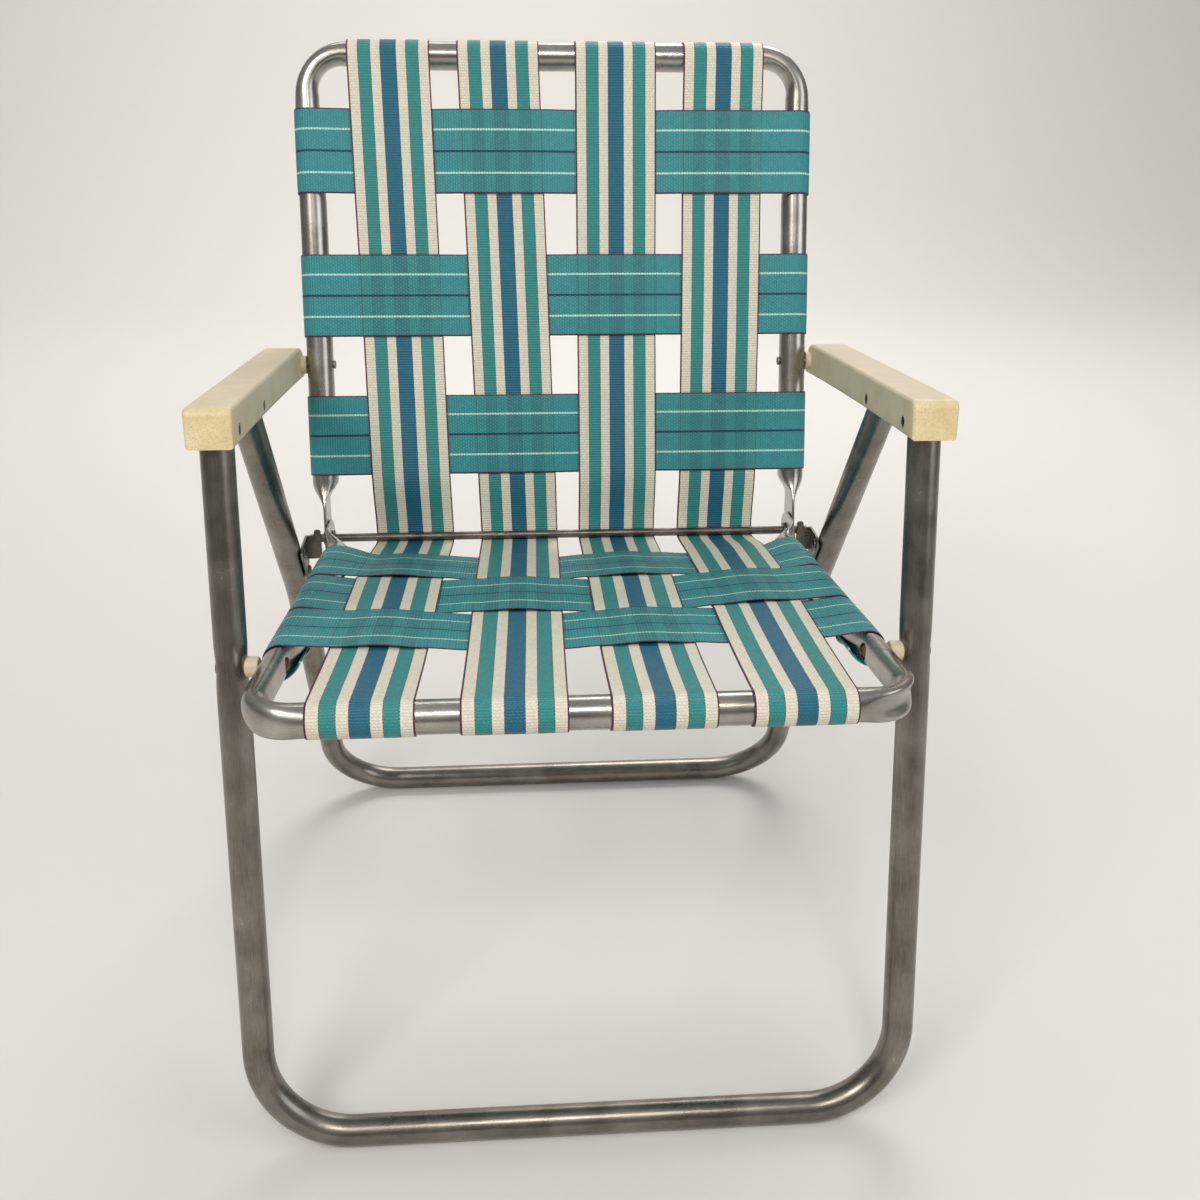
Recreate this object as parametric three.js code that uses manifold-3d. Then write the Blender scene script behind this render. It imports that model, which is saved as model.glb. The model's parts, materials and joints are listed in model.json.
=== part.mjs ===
// Folding lawn chair: two U-shaped leg frames, a seat frame and a back frame of round aluminium
// tube, moulded channel armrests, a steel cross rod at the crease and woven webbing straps.
// Millimetres, +Z up, the chair faces -Y, and the origin is on the floor at the middle.
import * as THREE from "three";
import { mergeVertices } from "three/addons/utils/BufferGeometryUtils.js";
import Module from "manifold-3d";

const wasm = await Module();
wasm.setup();

// Driving dimensions: tube, webbing and clearances
const TUBE_OD = 25.4;
const TUBE_WALL = 1.25;
const WEB_WIDTH = 76;
const WEB_THICK = 1.2;
const LONG_STRAPS = 4;
const STRAP_TO_CORNER = 0.5;
const WRAP_END = THREE.MathUtils.degToRad(-105);
const SEAT_FIRST_ROW = 100.6;
const SEAT_ROW_PITCH = 78.2;
const BACK_FIRST_ROW = 100;
const BACK_LAST_ROW_TO_BAR = 87;
const WEAVE_RISE = 1.15;
const WEAVE_EASE = 3;
const WEAVE_DROP = 0.6;
const CLEARANCE = 0.3;

// Driving dimensions: widths
const SEAT_HALF = 224;
const SEAT_SPLAY = THREE.MathUtils.degToRad(3.7);
const BACK_HALF_EXTRA = 6;
const ARM_BOSS = 4.8;
const ARM_WALL = 2.6;
const ARM_SIDE_GAP = 2.2;

// Driving dimensions: side view, lengths along each member and leans from the vertical
const FRONT_LEAN = THREE.MathUtils.degToRad(12.3);
const FRONT_TO_SEAT_PIVOT = 398.6;
const FRONT_TO_ARM_PIVOT = 577.8;
const SEAT_SLOPE = THREE.MathUtils.degToRad(2.46);
const SEAT_PIVOT_TO_ROD = 303.3;
const SEAT_LENGTH = 396;
const BACK_LEAN = THREE.MathUtils.degToRad(14.5);
const BACK_LENGTH = 450;
const BACK_TO_ARM_PIVOT = 168;
const ARM_TILT = THREE.MathUtils.degToRad(5.4);
const ARM_HEIGHT = 30;
const ARM_NOSE = 25;
const ARM_TAIL = 15;
const ARM_TOP_ABOVE_PIVOT = 20.2;
const ARM_NOSE_RADIUS = 8;
const ARM_TAIL_RADIUS = 21;
const ARM_EDGE = 3.2;
const ARM_BOW = 1.8;
const ARM_TO_REAR_PIVOT = 101.4;
const REAR_UPPER_LEAN = THREE.MathUtils.degToRad(36.2);
const REAR_UPPER_LENGTH = 295;
const REAR_LOWER_LEAN = THREE.MathUtils.degToRad(25);
const FRONT_LEG_TOP = 9;
const REAR_LEG_TOP = 4;

// Driving dimensions: bends, flattened ends, rod, rivets and hook
const LEG_CORNER = 75;
const BACK_CORNER = 36;
const SEAT_CORNER = 28;
const REAR_BEND = 180;
const PLATE_THICK = 2.7;
const PLATE_END = 16.5;
const PLATE_HALF_WIDTH = 18.6;
const FLAT_UNTIL = 26;
const ROUND_FROM = 54;
const MATE_FLAT_UNTIL = 60;
const MATE_ROUND_FROM = 88;
const ROD_RADIUS = 4;
const ROD_CHAMFER = 1;
const ROD_PAST_LEG_GAP = 4;
const WASHER_RADIUS = 7.5;
const WASHER_THICK = 2;
const NUT_RADIUS = 6.6;
const NUT_THICK = 2.4;
const RIVET_RADIUS = 3;
const RIVET_HEAD = 6.5;
const RIVET_DOME = 2.4;
const RIVET_TAIL = 4.2;
const RIVET_TAIL_THICK = 1.6;
const ACCESS_HOLE = 5.6;
const ARM_PIVOT_PLAY = 2.2;
const PAD_RADIUS = 9;
const SPACER_RADIUS = 8;
const HOOK_STEEL = 2.4;
const HOOK_WIDTH = 15.5;
const HOOK_BELOW_ROD = 19;
const HOOK_ABOVE_ROD = 5;
const HOOK_HORN = 11;
const HOOK_HORN_WIDTH = 6.5;
const HOOK_SHELF = 13;
const HOOK_SHELF_FALL = THREE.MathUtils.degToRad(41);
const HOOK_RIVET_RADIUS = 2.4;
const HOOK_RIVET_PITCH = 30;
const HOOK_RIVET_MARGIN = 7.7;

// Facets of round forms
const TUBE_SIDES = 20;
const BORE_SIDES = 8;
const CORNER_STEPS = 6;
const PIN_SIDES = 12;
const WRAP_STEPS = 8;
const ROD_WRAP_STEPS = 3;

// Sizes that follow from the driving dimensions
const TUBE_R = TUBE_OD / 2;
const BORE_R = TUBE_R - TUBE_WALL;
const BAR_HEIGHT = TUBE_R * Math.cos(Math.PI / TUBE_SIDES);
const BACK_HALF = SEAT_HALF + BACK_HALF_EXTRA;
const ARM_WIDTH = TUBE_OD + 2 * (ARM_SIDE_GAP + ARM_WALL);
const ARM_INNER_FACE = BACK_HALF + TUBE_R + ARM_BOSS;
const LEG_HALF = ARM_INNER_FACE + ARM_WIDTH / 2;
const BACK_PLATE_X = BACK_HALF;
const SEAT_PLATE_X = BACK_PLATE_X - PLATE_THICK - CLEARANCE;
const ROD_HALF = LEG_HALF - TUBE_R - ROD_PAST_LEG_GAP;
const WRAP_R = TUBE_R + CLEARANCE + WEB_THICK / 2;
const ROD_WRAP_R = ROD_RADIUS + CLEARANCE + WEB_THICK / 2;
const WEAVE_LEVEL = WRAP_R - WEAVE_RISE - WEAVE_DROP;
const BACK_ROW_PITCH = (BACK_LENGTH - BACK_FIRST_ROW - BACK_LAST_ROW_TO_BAR) / 2;
const OUTER_STRAP_X = BACK_HALF - BACK_CORNER - STRAP_TO_CORNER - WEB_WIDTH / 2;
const STRAP_X = Array.from(
  { length: LONG_STRAPS },
  (_, k) => OUTER_STRAP_X * ((2 * k) / (LONG_STRAPS - 1) - 1),
);

// Half widths along each frame: the seat's rails splay toward the front, the others are parallel
const seatHalfAt = (y) => SEAT_HALF + (y - SEAT_LENGTH / 2) * Math.tan(SEAT_SPLAY);
const backHalfAt = () => BACK_HALF;
const legHalfAt = () => LEG_HALF;
const SEAT_PIVOT_HALF = seatHalfAt(SEAT_PIVOT_TO_ROD);

// Pivots in the side view as (y, z), with y measured from the front floor bar
const side = (y, z) => new THREE.Vector2(y, z);
const FRONT_BAR = side(0, BAR_HEIGHT);
const alongFront = side(Math.sin(FRONT_LEAN), Math.cos(FRONT_LEAN));
const alongSeat = side(-Math.cos(SEAT_SLOPE), Math.sin(SEAT_SLOPE));
const alongBack = side(Math.sin(BACK_LEAN), Math.cos(BACK_LEAN));
const alongArm = side(Math.cos(ARM_TILT), -Math.sin(ARM_TILT));
const downRear = side(Math.sin(REAR_UPPER_LEAN), -Math.cos(REAR_UPPER_LEAN));
const walk = (from, direction, length) => from.clone().addScaledVector(direction, length);
const SEAT_PIVOT = walk(FRONT_BAR, alongFront, FRONT_TO_SEAT_PIVOT);
const ARM_PIVOT = walk(FRONT_BAR, alongFront, FRONT_TO_ARM_PIVOT);
const ROD = walk(SEAT_PIVOT, alongSeat, -SEAT_PIVOT_TO_ROD);
const BACK_PIVOT = walk(ROD, alongBack, BACK_TO_ARM_PIVOT);
const REAR_PIVOT = walk(ARM_PIVOT, alongArm, ARM_TO_REAR_PIVOT);
const REAR_KNEE = walk(REAR_PIVOT, downRear, REAR_UPPER_LENGTH);
const REAR_LOWER_LENGTH = (REAR_KNEE.y - BAR_HEIGHT) / Math.cos(REAR_LOWER_LEAN);
const ROD_ALONG_REAR = ROD.clone().sub(REAR_PIVOT).dot(downRear);
const HOOK_RIVETS_ALONG = [-0.5, 0.5].map((step) => ROD_ALONG_REAR + step * HOOK_RIVET_PITCH);
const REAR_BAR = side(REAR_KNEE.x + REAR_LOWER_LENGTH * Math.sin(REAR_LOWER_LEAN), BAR_HEIGHT);

// Materials as seen on the real chair
const material = (color, roughness, metalness) =>
  new THREE.MeshStandardMaterial({ color, roughness, metalness });
const aluminium = () => material(0xb4b2ae, 0.35, 1);
const darkSteel = () => material(0x4a4440, 0.55, 1);
const rivetMetal = () => material(0x8f8a84, 0.4, 1);
const ivoryPlastic = () => material(0xe4dfc8, 0.5, 0);
const stripedWeb = () => material(0xe9e4d6, 0.8, 0);
const tealWeb = () => material(0x2f8f89, 0.8, 0);

// A closed geometry as a solid that can be joined and cut, turned outward if it is inside out
function solid(geometry) {
  const bare = geometry.index ? geometry.toNonIndexed() : geometry.clone();
  bare.deleteAttribute("normal");
  bare.deleteAttribute("uv");
  const merged = mergeVertices(bare, 1e-4);
  const points = merged.attributes.position.array;
  const corners = Array.from(merged.index.array);
  const triangles = [];
  let volume = 0;
  for (let i = 0; i < corners.length; i += 3) {
    const [a, b, c] = corners.slice(i, i + 3);
    if (a === b || b === c || a === c) continue;
    triangles.push(a, b, c);
    const [p, q, r] = [a, b, c].map((n) => new THREE.Vector3().fromArray(points, 3 * n));
    volume += p.dot(q.cross(r));
  }
  const turned = volume > 0 ? triangles : triangles.reverse();
  const mesh = new wasm.Mesh({
    numProp: 3,
    vertProperties: new Float32Array(points),
    triVerts: new Uint32Array(turned),
  });
  return new wasm.Manifold(mesh);
}

// A solid back as a geometry
function geometryOf(body) {
  const mesh = body.getMesh();
  const geometry = new THREE.BufferGeometry();
  geometry.setAttribute("position", new THREE.BufferAttribute(mesh.vertProperties, 3));
  geometry.setIndex(new THREE.BufferAttribute(mesh.triVerts, 1));
  geometry.computeVertexNormals();
  return geometry;
}

// The mirror image of a solid, left for right
const mirrored = (body) => solid(geometryOf(body).scale(-1, 1, 1));

// A named piece, from a geometry or a solid, in the group that carries it
function add(parent, name, shape, look) {
  const geometry = shape.isBufferGeometry ? shape : geometryOf(shape);
  const mesh = new THREE.Mesh(geometry, look);
  mesh.name = name;
  parent.add(mesh);
  return mesh;
}

// A closed body through rings of equally many points, capped at both ends
function loft(rings) {
  const sides = rings[0].length;
  const points = rings.flat();
  const index = [];
  for (let r = 0; r + 1 < rings.length; r += 1) {
    for (let k = 0; k < sides; k += 1) {
      const next = (k + 1) % sides;
      const [a, b] = [r * sides + k, r * sides + next];
      index.push(a, a + sides, b, b, a + sides, b + sides);
    }
  }
  for (const [ring, flip] of [[0, false], [rings.length - 1, true]]) {
    const middle = points.length;
    const centre = new THREE.Vector3();
    rings[ring].forEach((point) => centre.addScaledVector(point, 1 / sides));
    points.push(centre);
    for (let k = 0; k < sides; k += 1) {
      const [a, b] = [ring * sides + k, ring * sides + ((k + 1) % sides)];
      index.push(...(flip ? [middle, b, a] : [middle, a, b]));
    }
  }
  const geometry = new THREE.BufferGeometry().setFromPoints(points);
  geometry.setIndex(index);
  return solid(geometry);
}

// A round ring across a station, with a flat facet toward the angle given by phase
function roundRing(station, radius, sides, phase) {
  return Array.from({ length: sides }, (_, k) => {
    const angle = phase + ((k + 0.5) * 2 * Math.PI) / sides;
    return station.at(radius * Math.cos(angle), radius * Math.sin(angle));
  });
}

// A place on a tube's centre line: at(a, b) is a point across it, along its two directions
function makeStation(point, out, normal, along) {
  const at = (a, b) => point.clone().addScaledVector(out, a).addScaledVector(normal, b);
  return { along, at };
}

// Stations of a flat U: the left leg, a corner, the bar, a corner and the right leg. Legs run along
// y from legStops to the bar, halfAt(y) from the middle; the stops are listed from the free end.
function uStations(halfAt, barAt, corner, legStops) {
  const up = new THREE.Vector3(0, 0, 1);
  const toBar = Math.sign(barAt - legStops[0]);
  const splay = Math.atan(halfAt(toBar) - halfAt(0));
  const leg = (sign, y) =>
    makeStation(new THREE.Vector3(sign * halfAt(y), y, 0), new THREE.Vector3(sign, 0, 0), up, y);
  const bendY = barAt - toBar * corner;
  const bendX = halfAt(bendY - toBar * corner * Math.sin(splay)) - corner * Math.cos(splay);
  const bend = (sign, turn) => {
    const angle = turn * (Math.PI / 2 + splay) - splay;
    const out = new THREE.Vector3(sign * Math.cos(angle), toBar * Math.sin(angle), 0);
    const centre = new THREE.Vector3(sign * bendX, bendY, 0);
    return makeStation(centre.addScaledVector(out, corner), out, up, barAt);
  };
  const turns = Array.from({ length: CORNER_STEPS + 1 }, (_, k) => k / CORNER_STEPS);
  return [
    ...legStops.map((y) => leg(-1, y)),
    ...turns.map((turn) => bend(-1, turn)),
    ...turns.toReversed().map((turn) => bend(1, turn)),
    ...legStops.toReversed().map((y) => leg(1, y)),
  ];
}

// A cylinder along x
function pinX(radius, fromX, toX, y, z, sides = PIN_SIDES) {
  const geometry = new THREE.CylinderGeometry(radius, radius, toX - fromX, sides);
  geometry.rotateZ(Math.PI / 2);
  geometry.translate((fromX + toX) / 2, y, z);
  return solid(geometry);
}

// The same cut or pin on the left and right sides, from one on the right
const bothSides = (body) => body.add(mirrored(body));

// A rivet along x: a domed head beyond headAt and a rolled hollow tail that ends at tailAt
function rivet(headAt, tailAt, radius, headRadius, tailRadius) {
  const length = Math.abs(headAt - tailAt);
  const roll = RIVET_TAIL_THICK;
  const profile = [
    [0, roll * 1.3],
    [radius * 0.55, roll],
    [radius * 0.75, 0],
    [tailRadius, 0],
    [tailRadius, roll * 0.6],
    [radius, roll],
    [radius, length],
    [headRadius, length],
    [headRadius, length + RIVET_DOME * 0.3],
    [headRadius * 0.72, length + RIVET_DOME * 0.8],
    [headRadius * 0.35, length + RIVET_DOME],
    [0, length + RIVET_DOME],
  ].map(([r, y]) => new THREE.Vector2(r, y));
  const geometry = new THREE.LatheGeometry(profile, PIN_SIDES);
  geometry.rotateZ(headAt > tailAt ? -Math.PI / 2 : Math.PI / 2);
  geometry.translate(tailAt, 0, 0);
  return solid(geometry);
}

// One strap: a strip of webbing between its two edges, each a path of (across, level) points
function strap(nearEdge, farEdge = nearEdge) {
  const corner = (path, k, sign, width) => {
    const before = path[Math.max(k - 1, 0)];
    const after = path[Math.min(k + 1, path.length - 1)];
    const run = after.clone().sub(before).normalize();
    const lift = (sign * WEB_THICK) / 2;
    return new THREE.Vector3(path[k].x - lift * run.y, path[k].y + lift * run.x, width);
  };
  const rings = nearEdge.map((_, k) => [
    corner(nearEdge, k, 1, WEB_WIDTH / 2),
    corner(nearEdge, k, -1, WEB_WIDTH / 2),
    corner(farEdge, k, -1, -WEB_WIDTH / 2),
    corner(farEdge, k, 1, -WEB_WIDTH / 2),
  ]);
  return geometryOf(loft(rings));
}

// Points of an arc, from one angle to another
function arcPoints(centre, radius, from, to, steps) {
  return Array.from({ length: steps + 1 }, (_, k) => {
    const angle = from + ((to - from) * k) / steps;
    const spoke = new THREE.Vector2(Math.cos(angle), Math.sin(angle));
    return spoke.multiplyScalar(radius).add(centre);
  });
}

// A smooth step between two levels as a strap passes from one side of the weave to the other
function easePoints(from, to, steps = 4) {
  return Array.from({ length: steps - 1 }, (_, k) => {
    const share = (k + 1) / steps;
    const eased = share * share * (3 - 2 * share);
    return new THREE.Vector2(from.x + (to.x - from.x) * share, from.y + (to.y - from.y) * eased);
  });
}

// Joins level stretches [fromX, toX, level] with smooth steps between them
function weavePoints(stretches) {
  const points = [];
  stretches.forEach(([fromX, toX, level]) => {
    const start = new THREE.Vector2(fromX, level);
    if (points.length) points.push(...easePoints(points.at(-1), start));
    points.push(start);
    if (toX !== fromX) points.push(new THREE.Vector2(toX, level));
  });
  return points;
}

// Level stretches where a strap passes over and under the straps that it crosses, in turn
function crossings(places, risesOverFirst) {
  const grip = WEB_WIDTH / 2 - WEAVE_EASE;
  return places.map((place, k) => {
    const rise = (k % 2 === 0) === risesOverFirst ? WEAVE_RISE : -WEAVE_RISE;
    return [place - grip, place + grip, WEAVE_LEVEL + rise];
  });
}

// A cross strap: round both side tubes and woven through the long straps between them. Each edge
// of the webbing follows the side tubes where it crosses them.
function crossStrap(halfAt, row, risesOverFirst) {
  const woven = crossings(STRAP_X, risesOverFirst);
  const edge = (y) => {
    const half = halfAt(y);
    const run = weavePoints([[-half, -half, WRAP_R], ...woven, [half, half, WRAP_R]]);
    const start = arcPoints(side(-half, 0), WRAP_R, Math.PI - WRAP_END, Math.PI / 2, WRAP_STEPS);
    const end = arcPoints(side(half, 0), WRAP_R, Math.PI / 2, WRAP_END, WRAP_STEPS);
    return [...start.slice(0, -1), ...run, ...end.slice(1)];
  };
  return strap(edge(row - WEB_WIDTH / 2), edge(row + WEB_WIDTH / 2));
}

// Half of a long strap: from the rod, which it passes behind, woven along to the bar and round it
function longStrap(length, rows, risesOverFirst, foldAngle) {
  const rod = side(0, 0);
  const bar = side(length, 0);
  const woven = crossings(rows, risesOverFirst);
  const halfWrap = (Math.PI - foldAngle) / 2 - CLEARANCE / (2 * ROD_RADIUS);
  const start = arcPoints(rod, ROD_WRAP_R, -Math.PI / 2 - halfWrap, -Math.PI / 2, ROD_WRAP_STEPS);
  const run = weavePoints([[0, 0, -ROD_WRAP_R], ...woven, [length, length, WRAP_R]]);
  const end = arcPoints(bar, WRAP_R, Math.PI / 2, WRAP_END, WRAP_STEPS);
  return strap([...start.slice(0, -1), ...run, ...end.slice(1)]);
}

// Ring across a tube end that is pressed flat toward the rod. The face that meets the other frame
// stays flat for longer, because the two ends turn against each other there.
function flattenedRing(station, plateOffset, matesOutward) {
  const distance = station.along;
  const ease = (from, to) => THREE.MathUtils.smoothstep(distance, from, to);
  const rounding = ease(FLAT_UNTIL, ROUND_FROM);
  const mateRounding = ease(MATE_FLAT_UNTIL, MATE_ROUND_FROM);
  const nose = Math.sqrt(Math.max(PLATE_HALF_WIDTH ** 2 - Math.min(distance, 0) ** 2, 0));
  const halfWidth = THREE.MathUtils.lerp(nose, TUBE_R, rounding);
  const toMate = matesOutward ? 1 : -1;
  const plateFace = toMate * plateOffset + PLATE_THICK / 2;
  const mateFace = THREE.MathUtils.lerp(plateFace, TUBE_R, mateRounding);
  return Array.from({ length: TUBE_SIDES }, (_, k) => {
    const angle = ((k + 0.5) * 2 * Math.PI) / TUBE_SIDES;
    const [c, s] = [Math.cos(angle), Math.sin(angle)];
    const flat = plateOffset + (PLATE_THICK / 2) * THREE.MathUtils.clamp(3 * c, -1, 1);
    const round = toMate * Math.min(toMate * TUBE_R * c, mateFace);
    return station.at(THREE.MathUtils.lerp(flat, round, rounding), halfWidth * s);
  });
}

// A bent tube with both ends pressed flat, as on the back and the seat
function flatEndedFrame(halfAt, length, corner, plateX, matesOutward) {
  const nose = [-0.99, -0.86, -0.5].map((share) => share * PLATE_HALF_WIDTH);
  const reach = nose.filter((y) => y > -PLATE_END);
  const grow = [0.2, 0.4, 0.6, 0.8].map((share) => FLAT_UNTIL + share * (ROUND_FROM - FLAT_UNTIL));
  const swell = [0, 0.33, 0.67, 1].map(
    (share) => MATE_FLAT_UNTIL + share * (MATE_ROUND_FROM - MATE_FLAT_UNTIL),
  );
  const stops = [-PLATE_END, ...reach, 0, FLAT_UNTIL, ...grow, ROUND_FROM, ...swell];
  const outer = loft(
    uStations(halfAt, length, corner, stops).map((station) =>
      flattenedRing(station, plateX - halfAt(station.along), matesOutward),
    ),
  );
  const bore = loft(
    uStations(halfAt, length, corner, [MATE_ROUND_FROM + TUBE_WALL]).map((station) =>
      roundRing(station, BORE_R, BORE_SIDES, 0),
    ),
  );
  return outer.subtract(bore);
}

const chair = new THREE.Group();

// A group whose local y runs along a member and whose local z is the member's front or top side
function memberGroup(origin, turnX, turnZ = 0) {
  const group = new THREE.Group();
  group.position.set(0, origin.x, origin.y);
  group.rotation.set(turnX, 0, turnZ);
  chair.add(group);
  return group;
}
const frontLegs = memberGroup(FRONT_BAR, Math.PI / 2 - FRONT_LEAN);
const rearLegs = memberGroup(REAR_BAR, Math.PI / 2 + REAR_LOWER_LEAN);
const back = memberGroup(ROD, Math.PI / 2 - BACK_LEAN);
const seat = memberGroup(ROD, -SEAT_SLOPE, Math.PI);
const arms = memberGroup(ARM_PIVOT, -ARM_TILT);
const SIDES = [["left", -1], ["right", 1]];

// Front leg frame: a plain U that stands on its bar, drilled for the armrest and seat rivets
{
  const top = FRONT_TO_ARM_PIVOT + FRONT_LEG_TOP;
  const tube = (radius, sides, end) =>
    loft(
      uStations(legHalfAt, 0, LEG_CORNER, [end]).map((station) =>
        roundRing(station, radius, sides, -FRONT_LEAN),
      ),
    );
  const hole = (y) =>
    pinX(RIVET_RADIUS + CLEARANCE, LEG_HALF - TUBE_OD, LEG_HALF + TUBE_OD, y, 0);
  const frame = tube(TUBE_R, TUBE_SIDES, top)
    .subtract(tube(BORE_R, BORE_SIDES, top + TUBE_OD))
    .subtract(bothSides(hole(FRONT_TO_ARM_PIVOT)))
    .subtract(bothSides(hole(FRONT_TO_SEAT_PIVOT)));
  add(frontLegs, "front_leg_frame", frame, aluminium());
}

// Rear leg frame: a U whose legs bend forward above the knee and end inside the armrests
const KNEE_TURN = REAR_UPPER_LEAN - REAR_LOWER_LEAN;
const aboveKnee = (length) =>
  side(
    REAR_LOWER_LENGTH + length * Math.cos(KNEE_TURN),
    length * Math.sin(KNEE_TURN),
  );
{
  const kneeRun = REAR_BEND * Math.tan(KNEE_TURN / 2);
  const legAxes = (sign, turn) => [
    new THREE.Vector3(sign, 0, 0),
    new THREE.Vector3(0, -Math.sin(turn), Math.cos(turn)),
  ];
  const legStation = (sign, place, turn) =>
    makeStation(new THREE.Vector3(sign * LEG_HALF, place.x, place.y), ...legAxes(sign, turn), 0);
  const kneeStation = (sign, share) => {
    const turn = share * KNEE_TURN;
    const along = REAR_LOWER_LENGTH - kneeRun + REAR_BEND * Math.sin(turn);
    return legStation(sign, side(along, REAR_BEND * (1 - Math.cos(turn))), turn);
  };
  const legStations = (sign, end) => [
    legStation(sign, aboveKnee(end), KNEE_TURN),
    ...[1, 0.67, 0.33, 0].map((share) => kneeStation(sign, share)),
  ];
  const tube = (radius, sides, end) => {
    const lower = uStations(legHalfAt, 0, LEG_CORNER, [REAR_LOWER_LENGTH - kneeRun]).slice(1, -1);
    const path = [...legStations(-1, end), ...lower, ...legStations(1, end).reverse()];
    return loft(path.map((station) => roundRing(station, radius, sides, REAR_LOWER_LEAN)));
  };
  const top = REAR_UPPER_LENGTH + REAR_LEG_TOP;
  const pivot = aboveKnee(REAR_UPPER_LENGTH);
  const hole = pinX(
    RIVET_RADIUS + CLEARANCE,
    LEG_HALF - TUBE_OD,
    LEG_HALF + TUBE_OD,
    pivot.x,
    pivot.y,
  );
  const frame = tube(TUBE_R, TUBE_SIDES, top)
    .subtract(tube(BORE_R, BORE_SIDES, top + TUBE_OD))
    .subtract(bothSides(hole));
  const hookHoles = HOOK_RIVETS_ALONG.map((along) => {
    const place = aboveKnee(REAR_UPPER_LENGTH - along);
    return pinX(HOOK_RIVET_RADIUS + CLEARANCE, LEG_HALF - TUBE_OD, LEG_HALF, place.x, place.y);
  });
  const drilled = hookHoles.reduce((body, cut) => body.subtract(bothSides(cut)), frame);
  add(rearLegs, "rear_leg_frame", drilled, aluminium());
}

// Back frame and seat frame: bent tubes with pressed flat ends that share the rod
{
  const rodHole = pinX(ROD_RADIUS + CLEARANCE, SEAT_HALF - TUBE_OD, BACK_HALF + TUBE_OD, 0, 0);
  const rivetHole = pinX(
    RIVET_RADIUS + CLEARANCE,
    BACK_HALF - TUBE_OD,
    BACK_HALF + TUBE_OD,
    BACK_TO_ARM_PIVOT,
    0,
  );
  const backFrame = flatEndedFrame(backHalfAt, BACK_LENGTH, BACK_CORNER, BACK_PLATE_X, false)
    .subtract(bothSides(rodHole))
    .subtract(bothSides(rivetHole));
  add(back, "back_frame", backFrame, aluminium());

  const pivotHole = pinX(
    RIVET_RADIUS + CLEARANCE,
    SEAT_PIVOT_HALF,
    SEAT_PIVOT_HALF + TUBE_OD,
    SEAT_PIVOT_TO_ROD,
    0,
  );
  const accessHole = pinX(
    ACCESS_HOLE,
    SEAT_PIVOT_HALF - TUBE_OD,
    SEAT_PIVOT_HALF,
    SEAT_PIVOT_TO_ROD,
    0,
  );
  const seatFrame = flatEndedFrame(seatHalfAt, SEAT_LENGTH, SEAT_CORNER, SEAT_PLATE_X, true)
    .subtract(bothSides(rodHole))
    .subtract(bothSides(pivotHole))
    .subtract(bothSides(accessHole));
  add(seat, "seat_frame", seatFrame, aluminium());
}

// Cross rod with a washer inside and a push-on nut outside each pair of flat ends
{
  const profile = [
    [0, -ROD_HALF],
    [ROD_RADIUS - ROD_CHAMFER, -ROD_HALF],
    [ROD_RADIUS, -ROD_HALF + ROD_CHAMFER],
    [ROD_RADIUS, ROD_HALF - ROD_CHAMFER],
    [ROD_RADIUS - ROD_CHAMFER, ROD_HALF],
    [0, ROD_HALF],
  ].map(([r, y]) => new THREE.Vector2(r, y));
  const rod = new THREE.LatheGeometry(profile, PIN_SIDES).rotateZ(Math.PI / 2);
  add(seat, "cross_rod", rod, darkSteel());
  const ring = (radius, thick, centreX) =>
    pinX(radius, centreX - thick / 2, centreX + thick / 2, 0, 0).subtract(
      pinX(ROD_RADIUS + CLEARANCE, centreX - thick, centreX + thick, 0, 0),
    );
  const washerX = SEAT_PLATE_X - PLATE_THICK / 2 - CLEARANCE - WASHER_THICK / 2;
  const nutX = BACK_PLATE_X + PLATE_THICK / 2 + CLEARANCE + NUT_THICK / 2;
  for (const [name, sign] of SIDES) {
    add(seat, `rod_washer_${name}`, ring(WASHER_RADIUS, WASHER_THICK, -sign * washerX), darkSteel());
    add(seat, `rod_nut_${name}`, ring(NUT_RADIUS, NUT_THICK, -sign * nutX), darkSteel());
  }
}

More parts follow.
